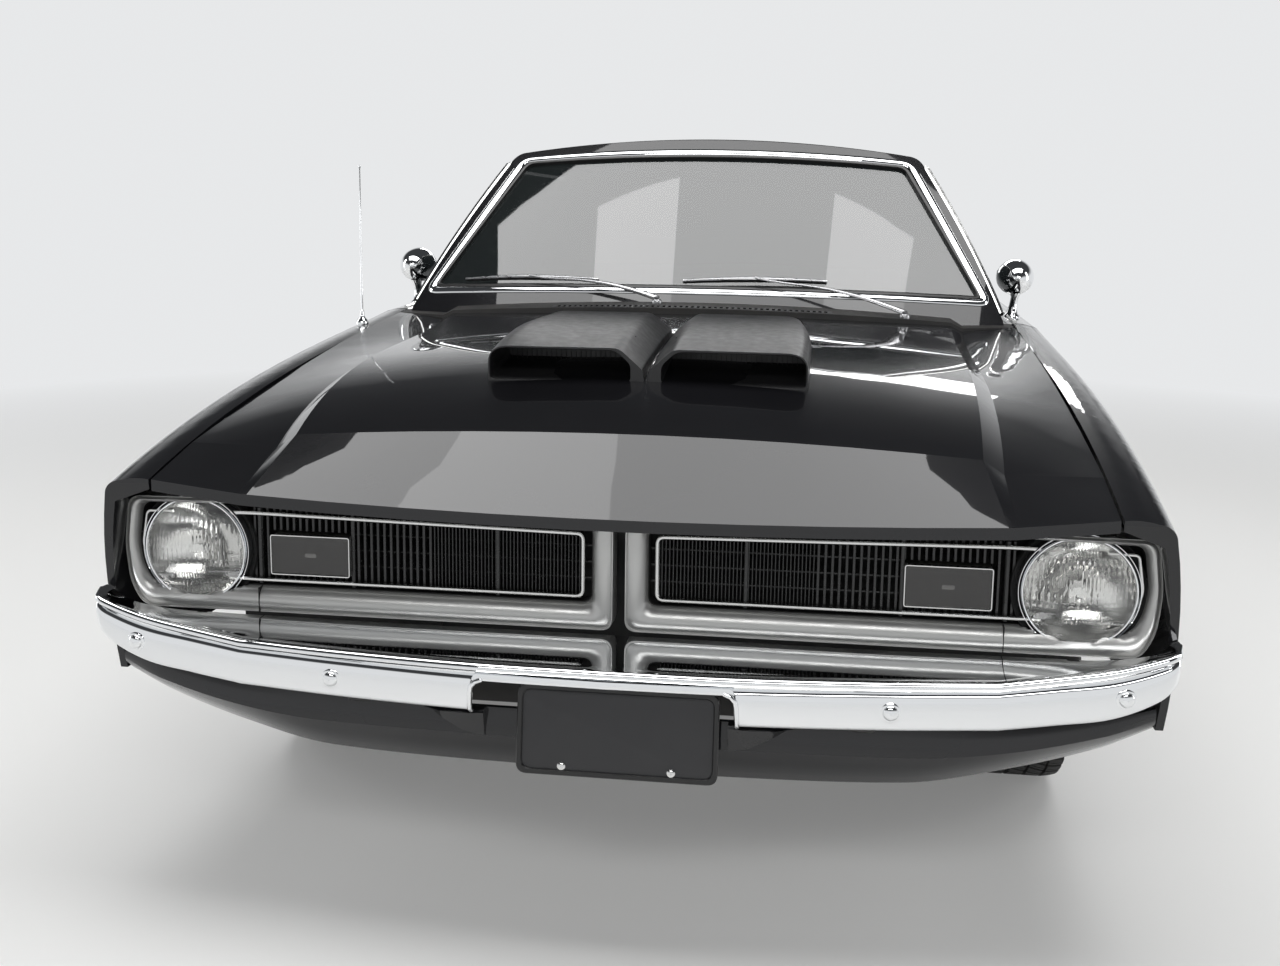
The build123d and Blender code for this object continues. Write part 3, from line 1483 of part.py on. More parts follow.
# Dashboard with the steering column
wheel_centre = (370, firewall_y + 585, 800)
column_tilt = 22
column_dir = (0, math.cos(math.radians(column_tilt)), math.sin(math.radians(column_tilt)))
column_plane = Plane(origin=wheel_centre, x_dir=(1, 0, 0), z_dir=column_dir)
steering_r = 190
steering_tube_r = 12
with BuildPart() as dashboard:
    add(
        side_prism(
            [
                (firewall_y + seat_gap, 700),
                (firewall_y + seat_gap, 845),
                (firewall_y + 85, 866),
                (firewall_y + 345, 882),
                (firewall_y + 379, 862),
                (firewall_y + 379, 770),
                (firewall_y + 335, 700),
            ],
            -firewall_half + 7,
            firewall_half - 7,
        )
    )
    with BuildSketch(column_plane.offset(-30 - seat_gap)):
        Circle(26)
    extrude(amount=-300)
save(dashboard, "dashboard")

with BuildPart() as steering_wheel:
    with BuildSketch(Plane(origin=column_plane.origin + column_plane.x_dir * steering_r,
                           x_dir=column_plane.x_dir, z_dir=-column_plane.y_dir)):
        Circle(steering_tube_r)
    revolve(axis=Axis(column_plane.origin, column_plane.z_dir))
    with BuildSketch(column_plane.offset(-30)):
        Circle(38)
    extrude(amount=42)
    with BuildSketch(column_plane.offset(-8)):
        with PolarLocations(0, 3, start_angle=-90):
            with Locations((steering_r / 2, 0)):
                Rectangle(steering_r - 8, 30)
    extrude(amount=6)
save(steering_wheel, "steering_wheel")

# Seats: two front buckets and the rear bench
seat_y = firewall_y + 985
front_seat_x = 395
seat_width = 450
with BuildPart() as front_seats:
    for side in (-1, 1):
        add(
            side_prism(
                [
                    (seat_y - 170, sill_z + floor_wall + seat_gap),
                    (seat_y - 185, 400),
                    (seat_y - 150, 440),
                    (seat_y + 290, 410),
                    (seat_y + 400, 930),
                    (seat_y + 430, 1010),
                    (seat_y + 480, 1020),
                    (seat_y + 500, 980),
                    (seat_y + 420, 400),
                    (seat_y + 400, sill_z + floor_wall + seat_gap),
                ],
                side * front_seat_x - seat_width / 2,
                side * front_seat_x + seat_width / 2,
            )
        )
save(front_seats, "front_seats")
bench_y = shelf_front_y - 1
with BuildPart() as rear_seat:
    add(
        side_prism(
            [
                (bench_y - 519, 366.3),
                (bench_y - 534, 510),
                (bench_y - 499, 560),
                (bench_y - 174, 556),
                (bench_y - 119, 860),
                (bench_y - 59, 875),
                (bench_y, 840),
                (bench_y, 531),
                (bench_y - 184, 531),
                (bench_y - 254, 408),
            ],
            -shelf_half + 5,
            shelf_half - 5,
        )
    )
save(rear_seat, "rear_seat")
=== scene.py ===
import json
import math

import bpy
from mathutils import Matrix, Vector
from mathutils.bvhtree import BVHTree


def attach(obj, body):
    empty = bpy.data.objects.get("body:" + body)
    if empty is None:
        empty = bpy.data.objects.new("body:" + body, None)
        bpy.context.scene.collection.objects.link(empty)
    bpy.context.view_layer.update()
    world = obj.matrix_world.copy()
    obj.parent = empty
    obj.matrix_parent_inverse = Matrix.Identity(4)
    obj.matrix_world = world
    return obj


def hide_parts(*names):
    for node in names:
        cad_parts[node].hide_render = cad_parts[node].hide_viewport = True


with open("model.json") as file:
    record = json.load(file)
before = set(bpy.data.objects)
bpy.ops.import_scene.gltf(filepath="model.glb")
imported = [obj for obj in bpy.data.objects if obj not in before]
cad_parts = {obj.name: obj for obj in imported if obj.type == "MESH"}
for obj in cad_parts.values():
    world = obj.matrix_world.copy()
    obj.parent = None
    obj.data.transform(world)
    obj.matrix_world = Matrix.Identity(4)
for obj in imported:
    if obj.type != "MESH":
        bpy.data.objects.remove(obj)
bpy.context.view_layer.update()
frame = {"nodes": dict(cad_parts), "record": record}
nodes = frame["nodes"]


# Materials

def shader(name, color, rough=0.5, metal=0.0, **sockets):
    """A new material with its constants set on the shader's own sockets."""
    made = bpy.data.materials.new(name)
    made.use_nodes = True
    bsdf = made.node_tree.nodes["Principled BSDF"]
    bsdf.inputs["Base Color"].default_value = (*color, 1.0)
    bsdf.inputs["Roughness"].default_value = rough
    bsdf.inputs["Metallic"].default_value = metal
    for socket, value in sockets.items():
        bsdf.inputs[socket.replace("_", " ")].default_value = value
    return made


def noise(made, scale, detail=4.0):
    """A noise texture in the object's own coordinates, in metres."""
    tree = made.node_tree
    place = tree.nodes.get("Place") or tree.nodes.new("ShaderNodeTexCoord")
    place.name = "Place"
    texture = tree.nodes.new("ShaderNodeTexNoise")
    texture.inputs["Scale"].default_value = scale
    texture.inputs["Detail"].default_value = detail
    tree.links.new(place.outputs["Object"], texture.inputs["Vector"])
    return texture.outputs["Fac"]


def add_bump(made, height, depth, strength=1.0):
    """Bump from a height output, depth in metres."""
    tree = made.node_tree
    bump = tree.nodes.new("ShaderNodeBump")
    bump.inputs["Distance"].default_value = depth
    bump.inputs["Strength"].default_value = strength
    tree.links.new(height, bump.inputs["Height"])
    tree.links.new(bump.outputs["Normal"], tree.nodes["Principled BSDF"].inputs["Normal"])


def vary(made, fac, socket, low, high):
    """Drives a socket between two grey values or two colours by a factor."""
    tree = made.node_tree
    ramp = tree.nodes.new("ShaderNodeValToRGB")
    ramp.color_ramp.elements[0].position = 0.3
    ramp.color_ramp.elements[1].position = 0.7
    for element, value in zip(ramp.color_ramp.elements, (low, high)):
        element.color = (*value, 1.0) if hasattr(value, "__len__") else (value, value, value, 1.0)
    tree.links.new(fac, ramp.inputs["Fac"])
    tree.links.new(ramp.outputs["Color"], tree.nodes["Principled BSDF"].inputs[socket])


finish = {}


def add_finish(name, color, rough, metal=0.0, varies=None, bumps=None, detail=4.0, **sockets):
    """A finish by name. varies: socket, noise scale, low, high. bumps: noise scale, depth in metres."""
    made = shader(name, color, rough, metal, **sockets)
    if varies:
        socket, scale, low, high = varies
        vary(made, noise(made, scale), socket, low, high)
    if bumps:
        scale, depth = bumps
        add_bump(made, noise(made, scale, detail), depth)
    finish[name] = made


# Painted and coated metal
add_finish("black_paint", (0.006, 0.006, 0.007), 0.3, bumps=(260.0, 0.00002), detail=2.0,
           varies=("Base Color", 2.5, (0.005, 0.005, 0.006), (0.008, 0.008, 0.0095)),
           Specular_IOR_Level=0.08, Coat_Weight=1.0, Coat_Roughness=0.02)
add_finish("satin_black", (0.014, 0.014, 0.015), 0.38, varies=("Roughness", 60.0, 0.34, 0.43),
           bumps=(900.0, 0.00004), Specular_IOR_Level=0.5)
add_finish("silver_trim", (0.5, 0.5, 0.49), 0.34, 0.75, ("Roughness", 40.0, 0.3, 0.38), (1200.0, 0.00002))
add_finish("chassis_black", (0.018, 0.018, 0.018), 0.5, bumps=(300.0, 0.00008),
           varies=("Base Color", 9.0, (0.014, 0.014, 0.014), (0.03, 0.028, 0.026)))
add_finish("grille_black", (0.016, 0.016, 0.016), 0.28, varies=("Roughness", 60.0, 0.24, 0.36),
           Specular_IOR_Level=0.6)

# Bare metal
add_finish("chrome", (0.86, 0.87, 0.88), 0.03, 1.0, ("Roughness", 18.0, 0.02, 0.05))
add_finish("chrome_satin", (0.72, 0.72, 0.71), 0.16, 1.0, ("Roughness", 80.0, 0.12, 0.2))
add_finish("cast_iron", (0.11, 0.11, 0.12), 0.6, 0.3, bumps=(220.0, 0.0003))
add_finish("radiator_metal", (0.03, 0.03, 0.03), 0.6, 0.2, bumps=(500.0, 0.0002))
add_finish("exhaust_steel", (0.36, 0.35, 0.33), 0.42, 0.9,
           ("Base Color", 12.0, (0.26, 0.24, 0.22), (0.42, 0.41, 0.39)))
add_finish("tank_steel", (0.3, 0.3, 0.31), 0.45, 0.8, ("Roughness", 14.0, 0.38, 0.55))
add_finish("wheel_metal", (0.45, 0.45, 0.46), 0.25, 0.95, ("Roughness", 30.0, 0.2, 0.32))
add_finish("wiper_steel", (0.42, 0.42, 0.43), 0.28, 0.95, ("Roughness", 90.0, 0.22, 0.36))

# Glass, lenses and reflectors
add_finish("window_glass", (0.010, 0.013, 0.013), 0.02, Alpha=0.76, IOR=2.0)
add_finish("lamp_glass", (0.97, 0.97, 0.97), 0.02, Transmission_Weight=1.0, IOR=1.45)
add_finish("lens_glass", (0.97, 0.97, 0.96), 0.0, bumps=(500.0, 0.00003), Transmission_Weight=1.0, IOR=1.42)
add_finish("smoke_lens", (0.22, 0.215, 0.21), 0.05, bumps=(120.0, 0.0002), Transmission_Weight=0.8, IOR=1.45)
add_finish("red_lens", (0.35, 0.01, 0.008), 0.08, Transmission_Weight=0.35, Coat_Weight=0.6)
add_finish("amber_lens", (0.75, 0.25, 0.02), 0.08, varies=("Roughness", 60.0, 0.06, 0.12),
           Transmission_Weight=0.3, Coat_Weight=0.6)
add_finish("lamp_grey", (0.13, 0.128, 0.12), 0.35, 0.5, bumps=(200.0, 0.0002))
add_finish("lamp_silver", (0.78, 0.78, 0.77), 0.1, 1.0, bumps=(35.0, 0.0006))
add_finish("mirror_glass", (0.80, 0.82, 0.82), 0.01, 1.0, ("Roughness", 10.0, 0.005, 0.015))

# Rubber, plastic, vinyl and wood
add_finish("rubber_tyre", (0.014, 0.014, 0.014), 0.72, bumps=(700.0, 0.0001),
           varies=("Base Color", 25.0, (0.011, 0.011, 0.011), (0.02, 0.02, 0.019)))
add_finish("black_matte", (0.008, 0.008, 0.008), 0.75, bumps=(500.0, 0.00005))
add_finish("black_plastic", (0.012, 0.012, 0.012), 0.3, bumps=(900.0, 0.00003))
add_finish("dash_plastic", (0.02, 0.02, 0.02), 0.55, bumps=(1400.0, 0.00012))
add_finish("plate_dark", (0.022, 0.022, 0.024), 0.42, varies=("Roughness", 30.0, 0.36, 0.5))
add_finish("seat_vinyl", (0.02, 0.019, 0.019), 0.42, bumps=(1600.0, 0.00016))
add_finish("wheel_wood", (0.24, 0.09, 0.035), 0.2, Coat_Weight=0.8, Coat_Roughness=0.05,
           varies=("Base Color", 45.0, (0.14, 0.05, 0.02), (0.34, 0.14, 0.055)))


def dress(obj, kind):
    """Gives an object one material."""
    obj.data.materials.clear()
    obj.data.materials.append(finish[kind])


# Mesh helpers

def add_object(name, data):
    """A new object in the scene."""
    obj = bpy.data.objects.new(name, data)
    bpy.context.scene.collection.objects.link(obj)
    return obj


def new_piece(name, parts, kind, body="root", sharp=35.0):
    """One mesh of several parts, smooth with sharp edges by angle, dressed and riding on a body."""
    verts, faces = join_parts(parts)
    mesh = bpy.data.meshes.new(name)
    mesh.from_pydata([tuple(v) for v in verts], [], faces)
    mesh.validate()
    mesh.update()
    obj = add_object(name, mesh)
    mesh.shade_smooth()
    mesh.set_sharp_from_angle(angle=math.radians(sharp))
    dress(obj, kind)
    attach(obj, body)
    return obj


def join_parts(parts):
    """Several (verts, faces) lists as one."""
    verts = []
    faces = []
    for part_verts, part_faces in parts:
        start = len(verts)
        verts.extend(part_verts)
        faces.extend([tuple(i + start for i in face) for face in part_faces])
    return verts, faces


def lattice(rows, wrap_rows=False, wrap_columns=False, flip=False):
    """Quads between rows of equally many points."""
    width = len(rows[0])
    verts = [point for row in rows for point in row]
    faces = []
    row_steps = len(rows) if wrap_rows else len(rows) - 1
    column_steps = width if wrap_columns else width - 1
    for i in range(row_steps):
        for j in range(column_steps):
            a = i * width + j
            b = i * width + (j + 1) % width
            c = ((i + 1) % len(rows)) * width + (j + 1) % width
            d = ((i + 1) % len(rows)) * width + j
            faces.append((a, d, c, b) if flip else (a, b, c, d))
    return verts, faces


def capped(rows, flip=False):
    """A lattice of closed sections with its two ends filled."""
    verts, faces = lattice(rows, wrap_columns=True, flip=flip)
    width = len(rows[0])
    first = list(range(width))
    last = [len(verts) - width + i for i in range(width)]
    faces.append(tuple(first if flip else reversed(first)))
    faces.append(tuple(reversed(last) if flip else last))
    return verts, faces


def mirrored(part):
    """The same mesh on the other side of the car."""
    verts, faces = part
    return [(-x, y, z) for x, y, z in verts], [tuple(reversed(face)) for face in faces]


def both_sides(parts):
    """The parts and their mirror images on the other side of the car."""
    return parts + [mirrored(part) for part in parts]


def block(low, high, chamfer=0.0):
    """A box between two corners with chamfered upright and level edges."""
    c = chamfer
    if c == 0.0:
        x0, y0, z0 = low
        x1, y1, z1 = high
        rows = [[(x0, y0, z), (x1, y0, z), (x1, y1, z), (x0, y1, z)] for z in (z0, z1)]
        return capped(rows)
    rows = []
    for z, inset in ((low[2], c), (low[2] + c, 0.0), (high[2] - c, 0.0), (high[2], c)):
        x0, y0 = low[0] + inset, low[1] + inset
        x1, y1 = high[0] - inset, high[1] - inset
        rows.append([
            (x0 + c, y0, z), (x1 - c, y0, z), (x1, y0 + c, z), (x1, y1 - c, z),
            (x1 - c, y1, z), (x0 + c, y1, z), (x0, y1 - c, z), (x0, y0 + c, z),
        ])
    return capped(rows)


def turned(profile, centre, axis, steps=48, closed=False):
    """A profile of (radius, along) turned about an axis through a centre."""
    along = Vector(axis).normalized()
    side = along.orthogonal().normalized()
    across = along.cross(side)
    rows = []
    for i in range(steps):
        angle = 2 * math.pi * i / steps
        out = side * math.cos(angle) + across * math.sin(angle)
        rows.append([Vector(centre) + out * r + along * t for r, t in profile])
    return lattice(rows, wrap_rows=True, wrap_columns=closed)


def swept(path, outward, profile, closed=False, flip=False):
    """A closed profile of (across, out) carried along a path; outward gives the surface normal."""
    count = len(path)
    points = [Vector(p) for p in path]
    rows = []
    for i in range(count):
        before = points[i - 1] if (i > 0 or closed) else points[i]
        after = points[(i + 1) % count] if (i < count - 1 or closed) else points[i]
        run = (after - before).normalized()
        out = Vector(outward[i] if isinstance(outward, list) else outward)
        out = (out - run * out.dot(run)).normalized()
        across = run.cross(out)
        rows.append([points[i] + across * u + out * v for u, v in profile])
    if closed:
        return lattice(rows, wrap_rows=True, wrap_columns=True, flip=flip)
    return capped(rows, flip=flip)


def spread(low, high, steps):
    """Evenly spaced values from low to high, both included."""
    return [low + (high - low) * k / steps for k in range(steps + 1)]


def bend(start, corner, end, steps):
    """Points on a curve from start to end that rounds off the corner between them."""
    return [start * (1 - t) ** 2 + corner * 2 * t * (1 - t) + end * t**2 for t in spread(0.0, 1.0, steps)]


# The most of a run that one rounded corner takes
corner_share = 0.45


def rounded_loop(points, radius, steps=6):
    """A closed outline with rounded corners: each corner gives the same number of points."""
    loop = []
    for i, point in enumerate(points):
        corner = Vector(point)
        before = Vector(points[i - 1]) - corner
        after = Vector(points[(i + 1) % len(points)]) - corner
        reach = min(radius, before.length * corner_share, after.length * corner_share)
        start = corner + before.normalized() * reach
        loop += bend(start, corner, corner + after.normalized() * reach, steps)
    return loop


def divided(points, gap, closed=True):
    """The same outline with long runs divided into steps of about gap."""
    out = []
    for point, after in zip(points, points[1:] + (points[:1] if closed else [])):
        steps = max(1, round((after - point).length / gap))
        out.extend(point.lerp(after, k / steps) for k in range(steps))
    return out if closed else out + points[-1:]


def read_rows(rows, place):
    """The columns of a table at a place, on smooth curves through its rows."""
    last = len(rows) - 1

    def slope(row, column):
        low = max(row - 1, 0)
        high = min(row + 1, last)
        return (rows[high][column] - rows[low][column]) / (rows[high][0] - rows[low][0])

    row = 0
    while row < last - 1 and rows[row + 1][0] < place:
        row += 1
    span = rows[row + 1][0] - rows[row][0]
    t = (place - rows[row][0]) / span
    values = []
    for column in range(1, len(rows[0])):
        start = rows[row][column]
        end = rows[row + 1][column]
        pull_start = slope(row, column) * span
        pull_end = slope(row + 1, column) * span
        values.append(
            (2 * t**3 - 3 * t**2 + 1) * start
            + (t**3 - 2 * t**2 + t) * pull_start
            + (3 * t**2 - 2 * t**3) * end
            + (t**3 - t**2) * pull_end
        )
    return values


def tree_of(*names):
    """A search tree over the faces of CAD nodes."""
    verts = []
    faces = []
    for name in names:
        mesh = nodes[name].data
        start = len(verts)
        verts.extend(v.co.copy() for v in mesh.vertices)
        faces.extend(tuple(i + start for i in p.vertices) for p in mesh.polygons)
    return BVHTree.FromPolygons(verts, faces)


def hit(tree, origin, direction):
    """Where a ray meets the surface, with the surface normal facing the ray."""
    point, normal, _, _ = tree.ray_cast(Vector(origin), Vector(direction).normalized())
    if point is None:
        return None, None
    if normal.dot(Vector(direction)) > 0:
        normal = -normal
    return point, normal


def on_side(tree, y, z):
    """The point and normal where a level ray from the left meets the car."""
    return hit(tree, (1.5, y, z), (-1, 0, 0))


def on_top(tree, x, y):
    """The point and normal where a ray from above meets the car."""
    return hit(tree, (x, y, 1.8), (0, 0, -1))


# The CAD nodes, each in the finish of its slot

for part in frame["record"]["subparts"]:
    dress(nodes[part["node"]], part["material_slot"])


# Front end, in metres; outlines are x and z seen from the front

grille_y = -2.255
lamp_centre = (0.757, grille_y - 0.004, 0.605)
lens_r = 0.089
lamp_dome = 0.016
# The bezel's round notch for a headlamp: radius, share of the way in at which it starts, z limits
notch_r = 0.107
notch_start = 0.45
notch_low_z = 0.4995
notch_high_z = 0.699
bezel_outer = [
    (0.010, 0.497), (0.858, 0.497), (0.881, 0.540), (0.8875, 0.610), (0.877, 0.698), (0.640, 0.700),
    (0.010, 0.688),
]
bezel_inner = [
    (0.048, 0.541), (0.844, 0.541), (0.859, 0.568), (0.867, 0.612), (0.857, 0.684), (0.640, 0.689),
    (0.048, 0.677),
]
bezel_seam_x = 0.6395
# Steps along each run that follows a corner of the bezel
bezel_runs = [70, 3, 5, 6, 20, 40, 10]
corner_steps = 7


def bezel_ring(share, y):
    """A loop in the plane at y, from the bezel's outer edge at 0 to its recess at 1."""
    outer = rounded_loop([(x, z, 0) for x, z in bezel_outer], 0.022, corner_steps)
    inner = rounded_loop([(x, z, 0) for x, z in bezel_inner], 0.018, corner_steps)
    ring = [low.lerp(high, share) for low, high in zip(outer, inner)]
    loop = []
    for i, point in enumerate(ring):
        after = ring[(i + 1) % len(ring)]
        last_of_corner = i % (corner_steps + 1) == corner_steps
        steps = bezel_runs[i // (corner_steps + 1)] if last_of_corner else 1
        loop.extend(point.lerp(after, k / steps) for k in range(steps))
    return [(p.x, y, notched(p.x, p.y, share)) for p in loop]


def notched(x, z, share):
    """The height z, moved off the headlamp's round notch as share nears the recess."""
    across = abs(x - lamp_centre[0])
    reach = notch_r * share
    if across >= reach or share < notch_start:
        return z
    drop = math.sqrt(reach**2 - across**2)
    if z < lamp_centre[2]:
        return min(z, max(lamp_centre[2] - drop, notch_low_z))
    return max(z, min(lamp_centre[2] + drop, notch_high_z))


def build_bezels():
    """Two satin frames: a thin front lip, a rounded band, and a wall down into the recess."""
    # share of the way in, and how far ahead of the grille line
    profile = [
        (0.0, -0.036), (0.0, 0.006), (0.02, 0.0085), (0.06, 0.0085), (0.09, 0.0065), (0.12, 0.0075),
        (0.25, 0.0100), (0.42, 0.0112), (0.60, 0.0100), (0.78, 0.0060), (0.90, 0.0005), (0.97, -0.0050),
        (1.0, -0.0080), (1.0, -0.036),
    ]
    rows = [bezel_ring(share, grille_y - ahead) for share, ahead in profile]
    frames = lattice(rows, wrap_rows=True, wrap_columns=True)
    piece = new_piece("bezel_frames", both_sides([frames]), "silver_trim")
    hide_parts("grille_bezels")
    seams = []
    for low_z, high_z in ((0.4965, 0.5420), (0.6885, 0.7010)):
        low = (bezel_seam_x, grille_y - 0.0122, low_z)
        seams.append(block(low, (bezel_seam_x + 0.0012, grille_y + 0.008, high_z)))
    new_piece("bezel_seams", both_sides(seams), "black_matte")
    # share of the way in, and how far behind the grille line
    wall_places = ((1.0, 0.0085), (1.03, 0.0090), (1.03, 0.038))
    wall = [bezel_ring(share, grille_y + behind) for share, behind in wall_places]
    new_piece("recess_walls", both_sides([lattice(wall, wrap_columns=True)]), "black_matte")


def bright_bar(points, corner, y, width, depth, closed=False):
    """A thin flat-faced bright bar that follows points in x and z."""
    places = [Vector((x, y, z)) for x, z in points]
    if closed:
        path = divided(rounded_loop(places, corner, 6), 0.04)
    else:
        path = [places[0]]
        for before, here, after in zip(places, places[1:], places[2:]):
            start = here + (before - here).normalized() * corner
            path += bend(start, here, here + (after - here).normalized() * corner, 6)
        path.append(places[-1])
    half = width / 2
    out = depth / 2
    profile = [
        (-half, -out), (half, -out), (half, out * 0.5), (half * 0.5, out), (-half * 0.5, out),
        (-half, out * 0.5),
    ]
    return swept(path, (0, -1, 0), profile, closed)


marker_centre = (0.548, 0.601)
marker_half = (0.071, 0.035)
# Upright bars of the grille: fine ones near the middle, wide ones from fine_end_x outwards
grille_start_x = 0.070
grille_end_x = 0.652
fine_end_x = 0.330
fine_pitch = 0.0064
fine_width = 0.0022
wide_pitch = 0.0118
wide_width = 0.0045
bar_low_z = 0.546
bar_high_z = 0.681


def build_grille_outlines():
    """Bright lines round each half of the grille and beside each headlamp."""
    line_y = grille_y + 0.004
    inner = [(0.700, 0.5535), (0.064, 0.5535), (0.064, 0.6625), (0.640, 0.6725), (0.700, 0.6720)]
    outer = [
        (0.800, 0.6700), (0.848, 0.6690), (0.8575, 0.612), (0.850, 0.5720), (0.836, 0.5540),
        (0.800, 0.5540),
    ]
    inner_line = bright_bar(inner, 0.012, line_y, 0.0064, 0.007)
    outer_line = bright_bar(outer, 0.008, line_y, 0.0052, 0.007)
    new_piece("grille_outlines", both_sides([inner_line, outer_line]), "chrome_satin")


def build_grille():
    """Fine upright bars with three level rods behind them and three stays, in a recess darkened by a black
    sheet of painted shade.
    """
    back_y = grille_y + 0.036
    bars = []
    x = grille_start_x
    while x < grille_end_x:
        pitch, width = (fine_pitch, fine_width) if x < fine_end_x else (wide_pitch, wide_width)
        if abs(x - marker_centre[0]) < marker_half[0] + 0.006:
            for low_z, high_z in ((bar_low_z, 0.561), (0.641, bar_high_z)):
                bars.append(block((x, grille_y + 0.014, low_z), (x + width, back_y, high_z), 0.0005))
        else:
            bars.append(block((x, grille_y + 0.012, bar_low_z), (x + width, back_y, bar_high_z), 0.0005))
        x += pitch
    for z in (0.580, 0.6085, 0.637):
        bars.append(block((0.050, grille_y + 0.026, z - 0.0012), (0.474, grille_y + 0.032, z + 0.0012)))
    for x in (0.211, 0.470, 0.640):
        bars.append(block((x, grille_y + 0.008, 0.5445), (x + 0.0065, back_y, 0.682), 0.001))
    grille_bars = new_piece("grille_bars", both_sides(bars), "grille_black")
    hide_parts("grille")
    # a black sheet behind the bars: painted shade for the dark depth behind the grille
    shade_backing = block((0.046, grille_y + 0.0500, 0.530), (0.870, grille_y + 0.0530, 0.692))
    new_piece("grille_shade_backing", both_sides([shade_backing]), "black_matte")


def build_marker_lamps():
    """Smoked lamps in the grille, each in a bright frame with a small bar across its middle."""
    cx, cz = marker_centre
    hx, hz = marker_half
    face_y = grille_y + 0.001
    corners = [(cx - hx, cz - hz), (cx + hx, cz - hz), (cx + hx, cz + hz), (cx - hx, cz + hz)]
    edge = bright_bar(corners, 0.004, face_y, 0.0034, 0.008, closed=True)
    bar = block((cx - 0.011, face_y - 0.0005, cz - 0.0045), (cx + 0.011, face_y + 0.004, cz + 0.0045), 0.001)
    new_piece("marker_frames", both_sides([edge, bar]), "chrome_satin")
    # the lens stands in by a small gap on all sides
    gx, gz = hx - 0.001, hz - 0.001
    lens = block((cx - gx, face_y - 0.001, cz - gz), (cx + gx, face_y + 0.004, cz + gz), 0.001)
    new_piece("marker_lenses", both_sides([lens]), "smoke_lens")
    housing = block((cx - hx, face_y + 0.006, cz - hz), (cx + hx, face_y + 0.036, cz + hz), 0.002)
    new_piece("marker_housings", both_sides([housing]), "lamp_grey")


# Bands of the headlamp lens: lower edge, flute width and depth, all across the whole disc
lens_bands = [
    (-0.100, 0.0072, 0.0010), (-0.052, 0.0050, 0.0008), (-0.024, 0.0094, 0.0014), (0.004, 0.0062, 0.0010),
    (0.030, 0.0088, 0.0012), (0.056, 0.0050, 0.0007),
]


def flute_depth(x, z):
    """How far the pattern inside the lens stands out at a point of the disc."""
    band = [row for row in lens_bands if row[0] <= z][-1]
    low, width, depth = band
    ridge = abs(math.sin(math.pi * x / width))
    blocks = 0.0004 * math.cos(2 * math.pi * (z - low) / 0.016)
    return depth * ridge + blocks


def lens_rows(inside):
    """Rows of points over the lens disc, on its domed outside or its fluted inside."""
    rows = []
    cx, cy, cz = lamp_centre
    for z in spread(-lens_r, lens_r, 64):
        half = math.sqrt(max(lens_r**2 - z**2, 0.0)) + 0.0002
        row = []
        for x in spread(-half, half, 150):
            y = cy - lamp_dome * (1 - (x**2 + z**2) / lens_r**2)
            if inside:
                y += 0.0030 + flute_depth(x, z)
            row.append((cx + x, y, cz + z))
        rows.append(row)
    return rows


def build_headlamps():
    """Round sealed-beam lamps: two rings, bowl, patterned glass and bulb shield."""
    forward = (0, -1, 0)

    def lamp_turned(profile, steps):
        return turned(profile, lamp_centre, forward, steps)

    ring = [
        (0.0888, -0.012), (0.0888, 0.001), (0.0900, 0.0032), (0.0918, 0.0036), (0.0932, 0.0015),
        (0.0935, -0.014),
    ]
    outer_ring = [
        (0.0958, -0.012), (0.0958, -0.001), (0.0966, 0.0006), (0.0976, 0.0006), (0.0982, -0.001),
        (0.0982, -0.030),
    ]
    new_piece("lamp_rings", both_sides([lamp_turned(ring, 96), lamp_turned(outer_ring, 96)]), "chrome")
    bucket = lamp_turned([(0.0935, -0.008), (0.0960, -0.008)], 64)
    shell = lamp_turned([(0.0982, -0.028), (0.0975, -0.050), (0.030, -0.062), (0.0005, -0.062)], 64)
    notch = lamp_turned([(0.0984, -0.020), (0.1075, -0.010), (0.1085, -0.012), (0.1085, -0.036)], 96)
    buckets = new_piece("lamp_buckets", both_sides([bucket, shell, notch]), "black_matte")
    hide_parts("front_lamps")
    bowl = [(max(0.0005, lens_r * math.sqrt(t)), -0.050 + 0.046 * t) for t in spread(0.0, 1.0, 16)]
    new_piece("lamp_bowls", both_sides([lamp_turned(bowl, 72)]), "lamp_silver")
    front = lattice(lens_rows(False))
    back = lattice(lens_rows(True), flip=True)
    new_piece("lamp_lenses", both_sides([front, back]), "lens_glass", sharp=50)
    shield_centre = Vector(lamp_centre) + Vector((0.0, 0.012, -0.006))
    shield = [(0.0004, 0.004), (0.012, 0.002), (0.018, -0.006), (0.018, -0.012)]
    new_piece("lamp_shields", both_sides([turned(shield, shield_centre, forward, 32)]), "lamp_silver")


# Front bumper: x, face y, back y and z of the shelf, ridge z, face top z, face bottom z
bumper_middle_rows = [
    (0.000, -2.4450, -2.263, 0.490, 0.486, 0.466, 0.408),
    (0.216, -2.4410, -2.263, 0.490, 0.486, 0.467, 0.409),
    (0.454, -2.4210, -2.263, 0.490, 0.487, 0.470, 0.410),
    (0.621, -2.4010, -2.263, 0.491, 0.489, 0.473, 0.413),
]
bumper_join_x = bumper_middle_rows[-1][0]
bumper_end_x = 0.907
bumper_end_rows = bumper_middle_rows[-1:] + [
    (0.710, -2.3870, -2.264, 0.492, 0.499, 0.482, 0.422),
    (0.800, -2.3750, -2.267, 0.495, 0.512, 0.493, 0.434),
    (0.872, -2.3650, -2.290, 0.516, 0.531, 0.514, 0.464),
    (0.898, -2.3540, -2.296, 0.538, 0.540, 0.526, 0.488),
    (bumper_end_x, -2.3280, -2.296, 0.543, 0.543, 0.530, 0.496),
]
plate_cut_x = 0.214
# x and z of the round bolt heads
bumper_bolts = [(0.454, 0.441), (0.817, 0.468)]


